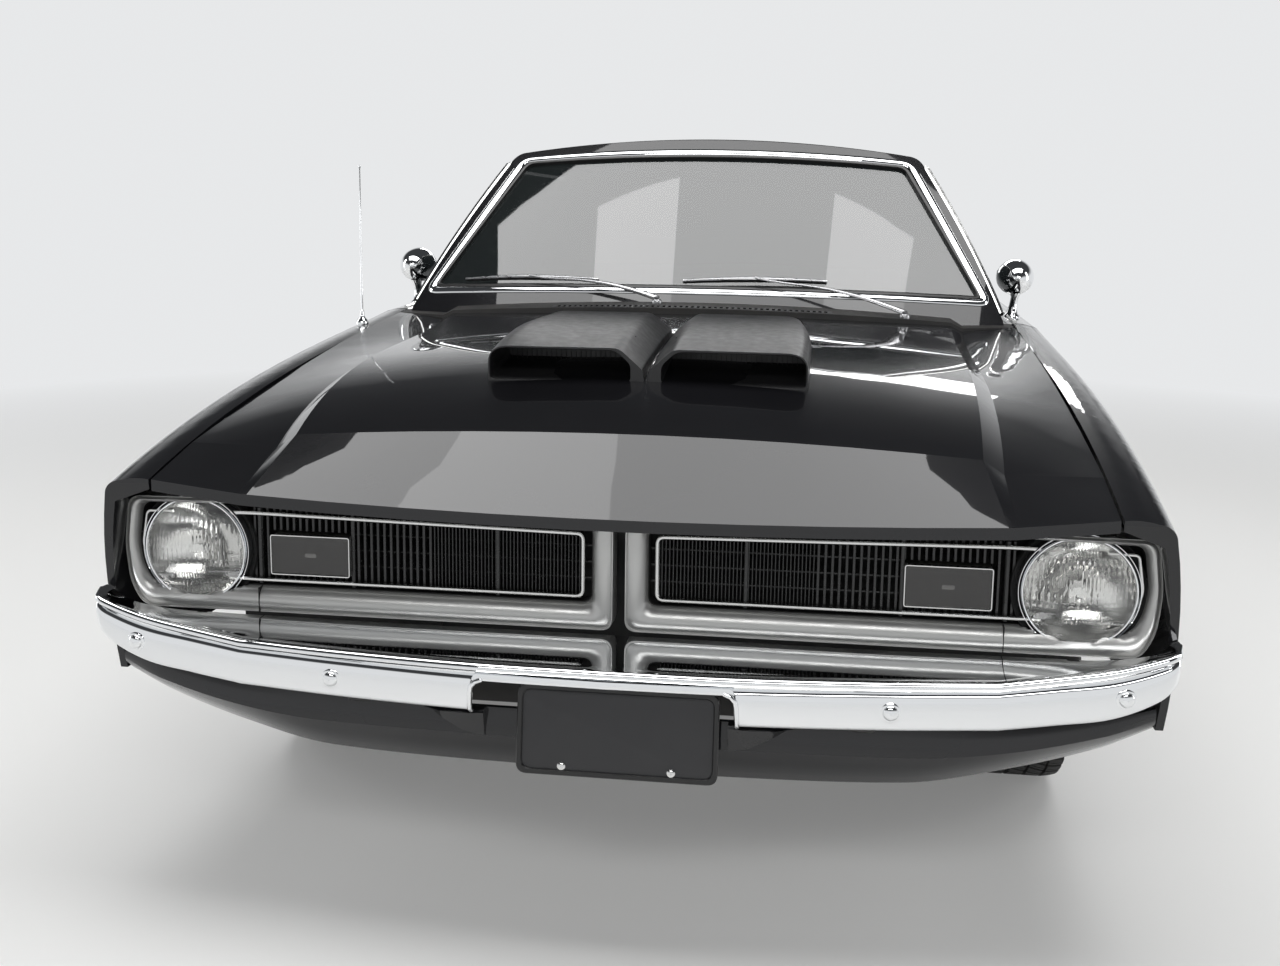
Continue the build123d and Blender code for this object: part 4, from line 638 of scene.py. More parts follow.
def bumper_section(x, out, face_y, back_y, back_z, ridge_z, top_z, low_z, mid_z):
    """Closed section of a bumper channel; out is -1 for the front and +1 for the rear."""

    def at(depth, z):
        return (x, face_y - out * depth, z)

    def shelf_point(t, depth, drop, end_z, power=1.0):
        run = face_y - out * depth - back_y
        return (x, back_y + run * t, back_z - drop + (end_z - back_z) * t**power)

    shelf = [shelf_point(t, 0.014, 0.0, ridge_z + 0.0012, 1.4) for t in (0.0, 0.25, 0.5, 0.75, 0.9, 0.97)]
    middle = (max(mid_z, low_z + 0.006) + top_z) / 2
    outside = [
        at(0.0105, ridge_z + 0.0022), at(0.0060, ridge_z + 0.0016), at(0.0020, ridge_z - 0.0006),
        at(0.0002, ridge_z - 0.0044), at(0.0008, ridge_z - 0.0082), at(0.0050, ridge_z - 0.0115),
        at(0.0082, ridge_z - 0.0135), at(0.0085, top_z + 0.0030), at(0.0060, top_z + 0.0006),
        at(0.0032, top_z - 0.0022), at(0.0018, top_z - 0.0060), at(0.0012, middle),
        at(0.0026, low_z + 0.012), at(0.0044, low_z + 0.0040), at(0.0070, low_z), at(0.0115, low_z - 0.0020),
        at(0.0210, low_z - 0.0020),
    ]
    inside = [
        at(0.0210, low_z + 0.0008), at(0.0130, low_z + 0.0024), at(0.0085, low_z + 0.0075),
        at(0.0060, middle), at(0.0085, top_z - 0.0020), at(0.0125, top_z + 0.0015),
        at(0.0130, ridge_z - 0.0150),
    ]
    under = [shelf_point(t, 0.020, 0.004, ridge_z - 0.002) for t in (0.9, 0.5, 0.0)]
    return shelf + outside + inside + under


def bumper_run(rows, out, low_x, high_x, steps, crowd=1.0, cut_z=None):
    """Sections of a bumper between two places, crowded towards the outer end."""
    sections = []
    for k in range(steps + 1):
        x = high_x - (high_x - low_x) * (1 - k / steps) ** crowd
        *upper, low_z = read_rows(rows, x)
        sections.append(bumper_section(x, out, *upper, cut_z or low_z, low_z))
    return sections


def mirrored_sections(half):
    """Sections from the middle outwards, continued on the other side."""
    return [[(-x, y, z) for x, y, z in section] for section in reversed(half[1:])] + half


def dome_bolt(seat, lean):
    """A round polished bolt head on its washer."""
    profile = [
        (0.0165, -0.002), (0.0165, 0.0012), (0.0150, 0.0024), (0.0125, 0.0026), (0.0118, 0.0044),
        (0.0092, 0.0066), (0.0050, 0.0082), (0.0003, 0.0088),
    ]
    return turned(profile, seat, lean, 32)


def cut_out_lips():
    """Rolled beads along the two upright edges of the cut-out for the plate."""
    bead_r = 0.0042
    bead = [(bead_r * math.cos(a * math.pi / 6), bead_r * math.sin(a * math.pi / 6)) for a in range(12)]
    edge_x = plate_cut_x + 0.0005
    face_y = read_rows(bumper_middle_rows, plate_cut_x)[0]
    # distance out from the edge, depth behind the face, z
    route = [
        (-0.020, 0.002, 0.4625), (-0.009, 0.0, 0.4590), (-0.002, 0.0, 0.4510), (0.0, 0.001, 0.4400),
        (0.001, 0.006, 0.4120), (0.001, 0.016, 0.4050),
    ]
    lips = []
    for side in (-1, 1):
        path = [(side * (edge_x + past), face_y + depth, z) for past, depth, z in route]
        lips.append(swept(path, (0, -1, 0), bead))
    return lips


def build_front_bumper():
    """Chrome bumper with its plate cut-out, round bolts and brackets."""
    half = bumper_run(bumper_middle_rows, -1, 0.0, plate_cut_x - 0.010, 12, cut_z=0.459)
    # rounding of the cut-out: how far past its edge, and the face's lower edge there
    rounding = [(-0.006, 0.4575), (-0.003, 0.4530), (-0.001, 0.4440), (0.0005, 0.4300), (0.002, 0.4160)]
    for past, low_z in rounding:
        x = plate_cut_x + past
        half += bumper_run(bumper_middle_rows, -1, x, x + 0.0002, 1, cut_z=low_z)[:1]
    half += bumper_run(bumper_middle_rows, -1, plate_cut_x + 0.006, bumper_join_x - 0.0005, 26)
    half += bumper_run(bumper_end_rows, -1, bumper_join_x + 0.0015, bumper_end_x, 34, crowd=1.7)
    parts = [capped(mirrored_sections(half))]
    for x, z in bumper_bolts:
        rows = bumper_middle_rows if x < bumper_join_x else bumper_end_rows
        lean = (0.0, -1.0, -0.05) if x < bumper_join_x else (0.13, -1.0, -0.05)
        parts += both_sides([dome_bolt((x, read_rows(rows, x)[0] + 0.0015, z), lean)])
    piece = new_piece("front_bumper_bar", parts + cut_out_lips(), "chrome", sharp=40)
    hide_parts("front_bumper")
    # front y and low z of the two blocks of a bracket
    bracket_places = ((-2.404, 0.3985), (-2.284, 0.371))
    brackets = [block((0.392, y, z), (0.432, -2.246, 0.440), 0.003) for y, z in bracket_places]
    new_piece("bumper_brackets", both_sides(brackets), "chassis_black")


# Front valance: x, top y and z, crease y and z, bottom y and z
valance_rows = [
    (0.000, -2.392, 0.398, -2.400, 0.352, -2.352, 0.284),
    (0.480, -2.380, 0.398, -2.388, 0.355, -2.338, 0.292),
    (0.640, -2.354, 0.402, -2.364, 0.364, -2.312, 0.314),
    (0.800, -2.318, 0.414, -2.324, 0.387, -2.280, 0.350),
    (0.884, -2.285, 0.424, -2.288, 0.406, -2.270, 0.386),
]


def build_valance():
    """Black lower panel with a level crease, and small flares beside the plate."""
    half = []
    for x in spread(0.0, valance_rows[-1][0], 44):
        top_y, top_z, crease_y, crease_z, low_y, low_z = read_rows(valance_rows, x)
        section = [(x, top_y + 0.010, top_z), (x, top_y, top_z)]
        for t in (0.25, 0.5, 0.75, 0.93):
            bow = 0.002 * math.sin(math.pi * t)
            section.append((x, top_y + (crease_y - top_y) * t - bow, top_z + (crease_z - top_z) * t))
        section.append((x, crease_y, crease_z))
        for t in (0.07, 0.3, 0.55, 0.8):
            bow = 0.004 * math.sin(math.pi * t)
            section.append((x, crease_y + (low_y - crease_y) * t - bow, crease_z + (low_z - crease_z) * t))
        section += [(x, low_y, low_z), (x, low_y + 0.009, low_z - 0.001), (x, low_y + 0.009, low_z + 0.004)]
        section += [(x, crease_y + 0.008, crease_z), (x, top_y + 0.010, top_z - 0.004)]
        half.append(section)
    parts = [capped(mirrored_sections(half))]
    # x of a flare's section, how far it stands out and its low z
    flare = [(0.200, 0.016, 0.352), (0.236, 0.022, 0.362), (0.272, 0.018, 0.380), (0.304, 0.002, 0.396)]
    for side in (-1, 1):
        rows = []
        for x, depth, low_z in flare:
            front = -2.394 - depth
            rows.append([
                (side * x, -2.390, 0.3985), (side * x, front + 0.004, 0.3985), (side * x, front, 0.3945),
                (side * x, front + 0.010, low_z), (side * x, -2.392, low_z - 0.002),
            ])
        parts.append(capped(rows, flip=side < 0))
    piece = new_piece("lower_valance", parts, "black_paint", sharp=26)
    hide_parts("front_valance")


# A plate's screws: distance from the middle, and height above its middle
screw_x = 0.0889
screw_z = -0.058


def build_plate(name, centre, width, height, lean, out):
    """A blank dark plate in a rounded frame with two screws; out is the way it faces along y."""
    turn = Matrix.Rotation(math.radians(lean), 3, "X")
    x, z = width / 2, height / 2
    loop = rounded_loop([(-x, -z, 0), (x, -z, 0), (x, z, 0), (-x, z, 0)], 0.018, 6)

    def placed(x, depth, z):
        return turn @ Vector((x * -out, out * depth, z)) + Vector(centre)

    def ring(inset, depth):
        return [placed(p.x * (1 - 2 * inset / width), depth, p.y * (1 - 2 * inset / height)) for p in loop]

    # inset from the edge, and how far each ring stands out
    edge = [(0.0, -0.006), (0.0, 0.0), (0.0015, 0.002), (0.0075, 0.002), (0.009, 0.0), (0.009, -0.006)]
    surround = lattice([ring(*place) for place in edge], wrap_rows=True, wrap_columns=True)
    new_piece(name + "_frame", [surround], "black_plastic")
    blank = capped([ring(0.009, -0.006), ring(0.009, -0.0010), ring(0.010, -0.0005)])
    new_piece(name + "_blank", [blank], "plate_dark")
    head = [(0.0070, -0.001), (0.0070, 0.0012), (0.0056, 0.0026), (0.0024, 0.0032), (0.0003, 0.0032)]
    screws = []
    for x in (-screw_x, screw_x):
        seat = placed(x, -0.0008, screw_z)
        screws.append(turned(head, seat, placed(x, 1.0, screw_z) - seat, 20))
    new_piece(name + "_screws", screws, "chrome_satin")


def build_front_plate():
    """The plate hangs from two arms off the bumper, below its cut-out."""
    build_plate("front_plate", (0.024, -2.428, 0.381), 0.327, 0.146, -8.0, -1)
    arms = [block((x, -2.420, 0.300), (x + 0.030, -2.392, 0.405), 0.002) for x in (-0.100, 0.110)]
    new_piece("front_plate_arms", arms, "chassis_black")


build_bezels()
build_grille_outlines()
build_grille()
build_marker_lamps()
build_headlamps()
build_front_bumper()
build_valance()
build_front_plate()


# Hood scoop and glasshouse trims

# Columns of the scoop: y, outer x, top z, valley z
scoop_rows = [
    (-1.950, 0.304, 0.947, 0.908),
    (-1.850, 0.306, 0.960, 0.918),
    (-1.700, 0.304, 0.971, 0.930),
    (-1.468, 0.284, 0.975, 0.942),
]
scoop_mouth_back_y = -1.780
scoop_lip_wall = 0.0045
scoop_screen_y = -1.800
# How far the scoop reaches down into the hood, which is measured under its outer part
scoop_sink = 0.004
scoop_side_x = 0.29
# Upright wires of the screens: first and last x, and pitch
wire_start_x = 0.040
wire_end_x = 0.295
wire_pitch = 0.010


def scoop_loop(y, outer_x, top_z, valley_z, base_z, inset):
    """Closed section of one snorkel; inset above zero gives its hollow."""
    # x and z of a corner, and its radius
    if inset == 0.0:
        corners = [
            (outer_x, base_z, 0.001), (outer_x, top_z, 0.042), (0.052, top_z + 0.001, 0.012),
            (0.007, valley_z, 0.004), (0.0005, base_z, 0.0004),
        ]
    else:
        low_z = base_z + inset + 0.004
        corners = [
            (outer_x - inset, low_z, 0.010), (outer_x - inset, top_z - inset, 0.038),
            (0.058, top_z - inset, 0.014), (0.029, top_z - 0.030, 0.010), (0.029, low_z, 0.010),
        ]
    points = [Vector((x, y, z)) for x, z, _ in corners]
    loop = []
    for i, here in enumerate(points):
        radius = corners[i][2]
        before = points[i - 1] - here
        after = points[(i + 1) % len(points)] - here
        start = here + before.normalized() * min(radius, before.length * corner_share)
        end = here + after.normalized() * min(radius, after.length * corner_share)
        loop += bend(start, here, end, 8)
    return loop


def build_scoop():
    """Two flat snorkels with a valley between them and open, hollow mouths."""
    tree = tree_of("hood")

    def hood_z(x, y):
        return on_top(tree, x, y)[0].z

    first_y = scoop_rows[0][0]
    last_y = scoop_rows[-1][0]
    skin = []
    for y in spread(first_y, last_y, 16):
        skin.append(scoop_loop(y, *read_rows(scoop_rows, y), hood_z(scoop_side_x, y) - scoop_sink, 0.0))
    outer_x, top_z, valley_z = read_rows(scoop_rows, last_y)
    base_z = hood_z(0.28, last_y) - scoop_sink
    skin.append(scoop_loop(last_y + 0.006, outer_x - 0.006, top_z - 0.008, valley_z - 0.006, base_z, 0.0))
    hollow = []
    for y in (scoop_mouth_back_y, -1.860, -1.925, first_y + 0.004, first_y):
        wall = scoop_lip_wall if y > first_y else scoop_lip_wall * 0.6
        hollow.append(scoop_loop(y, *read_rows(scoop_rows, y), hood_z(scoop_side_x, y) - scoop_sink, wall))
    shell = capped(hollow + skin, flip=True)
    piece = new_piece("scoop_shell", both_sides([shell]), "satin_black", "hood", sharp=38)
    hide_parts("hood_scoop")
    low_z = hood_z(scoop_side_x, scoop_screen_y) + 0.002
    high_z = read_rows(scoop_rows, scoop_screen_y)[1] - 0.008
    wires = []
    x = wire_start_x
    while x < wire_end_x:
        wires.append(block((x, scoop_screen_y, low_z), (x + 0.0012, scoop_screen_y + 0.002, high_z)))
        x += wire_pitch
    new_piece("scoop_screens", both_sides(wires), "black_matte", "hood")


# Middle line of the windscreen and of the rear window, and the radius of each one's bow across the car
screen_base = Vector((0.0, -0.960, 0.985))
screen_top = Vector((0.0, -0.560, 1.366))
screen_r = 2.750
backlight_top = Vector((0.0, 0.640, 1.374))
backlight_end = Vector((0.0, 1.492, 0.968))
backlight_r = 4.200


def glass_frame(start, end):
    """Direction along a glass from start to end, and its outward normal."""
    along = (end - start).normalized()
    out = Vector((0.0, -along.z, along.y))
    if out.z < 0:
        out = -out
    return along, out


def on_glass(start, end, radius, x, up, lift=0.0):
    """A point on a curved glass at x and a distance from its start, with the normal there."""
    along, out = glass_frame(start, end)
    drop = radius - math.sqrt(radius**2 - x**2)
    normal = (out * math.sqrt(1 - (x / radius) ** 2) + Vector((x / radius, 0, 0))).normalized()
    return start + along * up + Vector((x, 0, 0)) - out * drop + normal * lift, normal


def glass_loop(start, end, radius, outline, corner):
    """A closed path over a curved glass, from an outline in x and distance along it."""
    flat = divided(rounded_loop([Vector((x, up, 0)) for x, up in outline], corner, 8), 0.04)
    points = []
    normals = []
    for p in flat:
        point, normal = on_glass(start, end, radius, p.x, p.y)
        points.append(point)
        normals.append(normal)
    return points, normals


def arc_outline(low_x, low_up, low_middle, top_x, top_up, top_middle, grow):
    """Outline of a window whose lower and upper edges are shallow arcs, grown outwards."""
    outline = []
    for t in spread(-1.0, 1.0, 10):
        outline.append((t * (low_x + grow), low_middle + (low_up - low_middle) * t**2 - grow))
    for t in spread(1.0, -1.0, 10):
        outline.append((t * (top_x + grow), top_middle + (top_up - top_middle) * t**2 + grow))
    return outline


screen_length = (screen_top - screen_base).length
backlight_length = (backlight_end - backlight_top).length
screen_outline = (0.742, 0.092, 0.016, 0.546, screen_length - 0.002, screen_length - 0.024)
backlight_outline = (0.505, 0.040, 0.022, 0.560, backlight_length - 0.150, backlight_length - 0.070)
trim_profile = [
    (-0.011, -0.004), (-0.0115, 0.001), (-0.009, 0.0036), (-0.004, 0.0052), (0.003, 0.0054), (0.008, 0.0040),
    (0.0105, 0.0016), (0.011, -0.004),
]
gasket_profile = [
    (-0.006, -0.009), (-0.006, 0.0005), (-0.003, 0.002), (0.004, 0.0012), (0.006, -0.002), (0.006, -0.009),
]


def build_screen_trims():
    """Bright mouldings and rubber gaskets round the windscreen and the rear window."""
    bright = []
    rubber = []
    for start, end, radius, outline in (
        (screen_base, screen_top, screen_r, screen_outline),
        (backlight_top, backlight_end, backlight_r, backlight_outline),
    ):
        points, normals = glass_loop(start, end, radius, arc_outline(*outline, 0.009), 0.030)
        bright.append(swept(points, normals, trim_profile, closed=True, flip=True))
        points, normals = glass_loop(start, end, radius, arc_outline(*outline, -0.006), 0.024)
        rubber.append(swept(points, normals, gasket_profile, closed=True, flip=True))
    new_piece("screen_mouldings", bright, "chrome")
    new_piece("screen_gaskets", rubber, "black_plastic")


def add_door_pieces(rows):
    """Pieces on the left door and, mirrored, on the right one.

    A row holds name, parts, finish, sharp angle, and the kind of CAD node that the piece replaces.
    """
    for side in ("left", "right"):
        for name, parts, kind, sharp, node in rows:
            placed = parts if side == "left" else [mirrored(part) for part in parts]
            piece = new_piece(f"{name}_{side}", placed, kind, f"door_{side}", sharp)
            if node:
                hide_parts(f"{node}_{side}")


# Corners of the drip rail and of the post behind the door: y and z
rail_path = [
    (-0.830, 0.938), (-0.512, 1.312), (-0.470, 1.318), (0.588, 1.306), (0.640, 1.262), (0.872, 0.962),
]
post_path = [(0.462, 0.940), (0.462, 1.290)]
belt_x = 0.826
belt_front_y = -0.800
belt_rear_y = 0.425


def side_path(tree, corners):
    """Points and normals over the car's left side, on a line through corners given in y and z."""
    flat = divided([Vector((y, z, 0)) for y, z in corners], 0.05, closed=False)
    hits = [on_side(tree, p.x, p.y) for p in flat]
    points = [point for point, _ in hits if point is not None]
    normals = [normal for _, normal in hits if normal is not None]
    return points, normals


def build_side_trims():
    """Bright drip rails and posts round the side glass, and thin strips along the belt."""
    rail = [
        (-0.009, -0.004), (-0.009, 0.004), (-0.004, 0.0105), (0.002, 0.0115), (0.006, 0.008),
        (0.007, -0.004),
    ]
    post = [(-0.007, -0.012), (-0.007, 0.003), (0.007, 0.003), (0.007, -0.012)]
    thin = [
        (-0.005, -0.003), (-0.005, 0.003), (-0.002, 0.006), (0.003, 0.006), (0.005, 0.002),
        (0.005, -0.003),
    ]
    rails = [swept(*side_path(tree_of("roof"), rail_path), rail)]
    glass_side = tree_of("roof", "fixed_glass", "door_glass_left")
    rails.append(swept(*side_path(glass_side, post_path), post))
    new_piece("drip_rails", both_sides(rails), "chrome_satin")
    door = tree_of("door_left")
    hits = [on_top(door, belt_x, y) for y in spread(belt_front_y, belt_rear_y, 19)]
    strip = swept([point for point, _ in hits], [normal for _, normal in hits], thin)
    add_door_pieces([("belt_strip", [strip], "chrome_satin", 35, None)])


def limb(points, width, depth, outward=(0, -0.7, 0.7)):
    """A slim tapered bar through points, as wide and deep as the lists say."""
    count = len(points)
    rows = []
    for i in range(count):
        here = Vector(points[i])
        run = (Vector(points[min(i + 1, count - 1)]) - Vector(points[max(i - 1, 0)])).normalized()
        out = Vector(outward)
        out = (out - run * out.dot(run)).normalized()
        across = run.cross(out)
        w, d = width[i] / 2, depth[i] / 2
        shape = [(-w, -d), (w, -d), (w, d * 0.4), (w * 0.6, d), (-w * 0.6, d), (-w, d * 0.4)]
        rows.append([here + across * u + out * v for u, v in shape])
    return capped(rows)


# Wipers: pivot x and y, then the blade's ends as x and distance up the glass
wiper_rows = [
    (-0.098, -1.000, -0.640, 0.096, -0.262, 0.046),
    (0.529, -0.985, -0.038, 0.036, 0.332, 0.062),
]


def build_wipers():
    """Two arms from low pivots on the cowl, each with a bow, a blade and its rubber."""
    cowl = tree_of("front_structure", "cowl_vent")
    pivot = [
        (0.013, -0.002), (0.013, 0.006), (0.010, 0.011), (0.007, 0.012), (0.007, 0.017), (0.0003, 0.018),
    ]
    blade_shares = spread(0.0, 1.0, 12)
    bows = [math.sin(math.pi * t) for t in blade_shares]
    metal = []
    rubber = []
    for pivot_x, pivot_y, start_x, start_up, end_x, end_up in wiper_rows:
        base, _ = on_top(cowl, pivot_x, pivot_y)
        metal.append(turned(pivot, base, (0, -0.3, 1), 24))
        blade = []
        for t in blade_shares:
            x = start_x + (end_x - start_x) * t
            blade.append(on_glass(screen_base, screen_top, screen_r, x, start_up + (end_up - start_up) * t))
        middle, normal = blade[6]
        rubber.append(limb([p + n * 0.004 for p, n in blade], [0.004] * 13, [0.008] * 13, normal))
        bow_path = [p + n * (0.0095 + 0.004 * bow) for bow, (p, n) in zip(bows, blade)]
        metal.append(limb(bow_path, [0.004 + 0.005 * bow for bow in bows], [0.004] * 13, normal))
        start = base + Vector((0, -0.002, 0.014))
        end = middle + normal * 0.018
        arm = []
        widths = []
        depths = []
        for t in spread(0.0, 1.0, 10):
            rise = 0.016 * math.sin(math.pi * min(1.0, t * 1.15)) * (1 - t * 0.3)
            arm.append(start.lerp(end, t) + Vector((0, 0, rise)))
            widths.append(0.015 - 0.009 * min(1.0, t * 1.6))
            depths.append(0.006 - 0.003 * t)
        metal.append(limb(arm, widths, depths, normal))
    piece = new_piece("wiper_arms", metal, "wiper_steel", sharp=50)
    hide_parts("wipers")
    new_piece("wiper_rubbers", rubber, "black_matte")


mirror_centre = Vector((0.845, -0.618, 1.026))
# Stand of a mirror: share of the way up, half width and half length
mirror_stand = [
    (0.0, 0.024, 0.050), (0.06, 0.023, 0.048), (0.14, 0.016, 0.036), (0.45, 0.011, 0.026),
    (0.80, 0.010, 0.024), (1.0, 0.015, 0.034),
]


def build_mirrors():
    """Chrome bullet mirrors with their glass, each on a tapered stand on the door."""
    centre = mirror_centre
    bullet = [
        (0.0004, -0.080), (0.012, -0.0775), (0.024, -0.069), (0.034, -0.055), (0.042, -0.036),
        (0.047, -0.013), (0.0495, 0.010), (0.050, 0.026), (0.0485, 0.030), (0.046, 0.030), (0.045, 0.026),
    ]
    foot, _ = on_top(tree_of("door_left"), centre.x - 0.004, centre.y)
    angles = [a * math.pi / 10 for a in range(20)]
    rows = []
    for share, wide, long in mirror_stand:
        x = centre.x - 0.006 * (1 - share)
        y = centre.y - 0.012 * share
        z = foot.z - 0.001 + (centre.z - 0.040 - foot.z) * share
        rows.append([(x + wide * math.cos(a), y + long * math.sin(a), z) for a in angles])
    shell = [turned(bullet, centre, (0, 1, 0), 56), capped(rows)]
    glass = turned([(0.0453, 0.026), (0.0003, 0.0262)], centre, (0, 1, 0), 40)
    add_door_pieces([
        ("mirror_shell", shell, "chrome", 50, "mirror"),
        ("mirror_glass", [glass], "mirror_glass", 35, None),
    ])


def build_antenna():
    """A tapered mast in a chrome ferrule on the right front fender."""
    foot = Vector((-0.850, -1.093, 0.8973))
    length = 0.4017
    profile = [
        (0.0160, 0.0), (0.0160, 0.004), (0.0135, 0.010), (0.0080, 0.016), (0.0055, 0.022), (0.0050, 0.034),
        (0.0028, 0.036), (0.0026, 0.190), (0.0020, 0.192), (0.0018, length - 0.008),
        (0.0032, length - 0.006), (0.0032, length - 0.001), (0.0003, length),
    ]
    piece = new_piece("antenna_mast", [turned(profile, foot, (0, 0, 1), 20)], "chrome", sharp=45)
    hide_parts("antenna")


build_scoop()
build_screen_trims()
build_side_trims()
build_wipers()
build_mirrors()
build_antenna()


# Wheels

wheel_r = 0.325
tread_groove = 0.008
groove_r = wheel_r - tread_groove
tread_root_r = wheel_r - 0.010
# name, half of the track, y
axles = [("front", 0.740, -1.520), ("rear", 0.728, 1.223)]
# Half section of the tyre: radius and distance out from the middle of the tread
tyre_half_section = [
    (groove_r, 0.0), (groove_r, 0.030), (groove_r, 0.060), (groove_r - 0.001, 0.088), (0.3145, 0.0985),
    (0.308, 0.1060), (0.300, 0.1105), (0.290, 0.1135), (0.287, 0.1150), (0.283, 0.1152), (0.280, 0.1145),
    (0.265, 0.1165), (0.250, 0.1170), (0.236, 0.1150), (0.226, 0.1120), (0.222, 0.1125), (0.218, 0.1120),
    (0.212, 0.1080), (0.207, 0.1010), (0.204, 0.0990), (0.1925, 0.0990),
]
# Half widths of the flat part of the tread and of its root, and how fast each falls away beyond
tread_flat = 0.070
tread_fall = 5.2
root_flat = 0.088
root_fall = 0.62
pitch_count = 56
# Blocks across half the tread: inner and outer edge, lag of each edge in pitches
tread_blocks = [
    (0.004, 0.034, 0.00, 0.55),
    (0.040, 0.070, 0.66, 1.20),
    (0.076, 0.1045, 1.28, 1.46),
]
# Round the tyre over one block: place in pitches, and share of the block's height
block_profile = [(0.0, 0), (0.04, 1), (0.25, 1), (0.46, 1), (0.50, 0.35), (0.54, 1), (0.76, 1), (0.82, 0)]


def tread_top(across):
    """The tread's radius at a distance from its middle: flat, then rounding off at the shoulder."""
    return wheel_r - 0.0004 - max(0.0, across - tread_flat) ** 2 * tread_fall


def sunk(row):
    """The points of a row moved to the root of the tread."""
    shares = [tread_root_r / math.hypot(y, z) for _, y, z in row]
    return [(x, y * share, z * share) for (x, y, z), share in zip(row, shares)]


def tread_block(place, side, inner, outer, lag_in, lag_out):
    """One raised block of the tread at a place counted in pitches."""
    rows = []
    for t in spread(0.0, 1.0, 3):
        across = inner + (outer - inner) * t
        start = place + lag_in + (lag_out - lag_in) * t**0.8
        low_r = tread_root_r - max(0.0, across - root_flat) * root_fall
        row = []
        for share, lift in block_profile:
            angle = (start + share) * 2 * math.pi / pitch_count
            r = low_r + (tread_top(across) - low_r) * lift
            row.append((side * across, r * math.cos(angle), r * math.sin(angle)))
        rows.append(row)
    return lattice([sunk(rows[0]), *rows, sunk(rows[-1])], flip=side > 0)


def tyre_mesh():
    """A tyre about the x axis: moulded carcass and a directional tread of raised blocks."""
    section = [(r, -t) for r, t in reversed(tyre_half_section[1:])] + tyre_half_section
    parts = [turned(section, (0, 0, 0), (1, 0, 0), 112)]
    for side in (-1, 1):
        for shape in tread_blocks:
            parts += [tread_block(place, side, *shape) for place in range(pitch_count)]
    return join_parts(parts)


def placed_on_wheel(part, side, x, y):
    """A part made about the x axis, facing out at side, moved to a wheel."""
    verts, faces = part
    moved = [(side * vx + x, vy + y, vz + wheel_r) for vx, vy, vz in verts]
    return moved, (faces if side > 0 else [tuple(reversed(face)) for face in faces])


spoke_count = 5
nut_ring_r = 0.057


def wheel_trim():
    """Nuts and centre cap on the outer face of a rim, about the x axis."""
    nut = [
        (0.0125, 0.0), (0.0125, 0.006), (0.0105, 0.010), (0.0100, 0.020), (0.0075, 0.0245),
        (0.0003, 0.0255),
    ]
    cap = [
        (0.0385, 0.0), (0.0385, 0.012), (0.036, 0.0165), (0.031, 0.018), (0.028, 0.0165), (0.026, 0.018),
        (0.012, 0.0205), (0.0003, 0.021),
    ]
    parts = []
    for i in range(spoke_count):
        angle = 2 * math.pi * (i + 0.5) / spoke_count
        seat = (0.0435, nut_ring_r * math.cos(angle), nut_ring_r * math.sin(angle))
        parts.append(turned(nut, seat, (1, 0, 0), 6))
    parts.append(turned(cap, (0.0445, 0, 0), (1, 0, 0), 48))
    return join_parts(parts)


rim_r = 0.190
rim_half = 0.108
# Closed section of the rim's barrel: distance out from the middle, and radius
barrel_section = [
    (-rim_half, rim_r - 0.008), (-rim_half, rim_r + 0.015), (-rim_half + 0.008, rim_r + 0.015),
    (-rim_half + 0.008, rim_r + 0.002), (-rim_half + 0.040, rim_r + 0.002),
    (-rim_half + 0.060, rim_r - 0.016), (rim_half - 0.075, rim_r - 0.016),
    (rim_half - 0.055, rim_r + 0.002), (rim_half - 0.008, rim_r + 0.002),
    (rim_half - 0.008, rim_r + 0.014), (rim_half - 0.007, rim_r + 0.015),
    (rim_half - 0.0015, rim_r + 0.015), (rim_half, rim_r + 0.0135), (rim_half, rim_r),
    (rim_half - 0.002, rim_r - 0.003), (rim_half - 0.022, rim_r - 0.010),
    (rim_half - 0.058, rim_r - 0.014), (rim_half - 0.078, rim_r - 0.026),
    (-rim_half + 0.062, rim_r - 0.026), (-rim_half + 0.042, rim_r - 0.008),
]


# Stations along a spoke: radius, middle depth, width and thickness
spoke_stations = [
    (0.040, 0.0225, 0.068, 0.034), (0.066, 0.0225, 0.064, 0.034), (0.090, 0.0205, 0.056, 0.030),
    (0.120, 0.0185, 0.049, 0.025), (0.145, 0.0165, 0.047, 0.022), (0.1690, 0.0160, 0.049, 0.021),
]
# Crowned section of a spoke, as shares of its width and thickness
spoke_section = [
    (-0.42, -0.5), (0.42, -0.5), (0.5, -0.40), (0.5, 0.10), (0.44, 0.34), (0.30, 0.46), (0.12, 0.50),
    (-0.12, 0.50), (-0.30, 0.46), (-0.44, 0.34), (-0.5, 0.10), (-0.5, -0.40),
]


def rim_mesh():
    """A rim about the x axis: barrel, hub and five crowned spokes."""
    barrel = turned([(r, x) for x, r in barrel_section], (0, 0, 0), (1, 0, 0), 96, closed=True)
    hub = [
        (0.0003, 0.0045), (0.064, 0.0045), (0.0655, 0.008), (0.0655, 0.038), (0.0630, 0.0425),
        (0.0595, 0.044), (0.0003, 0.044),
    ]
    parts = [barrel, turned(hub, (0, 0, 0), (1, 0, 0), 60)]
    for i in range(spoke_count):
        angle = 2 * math.pi * i / spoke_count
        out = Vector((0, math.cos(angle), math.sin(angle)))
        across = Vector((0, -math.sin(angle), math.cos(angle)))
        rows = []
        for r, middle, width, thickness in spoke_stations:
            row = []
            for u, v in spoke_section:
                row.append(out * r + across * u * width + Vector((middle + v * thickness, 0, 0)))
            rows.append(row)
        parts.append(capped(rows, flip=True))
    return join_parts(parts)


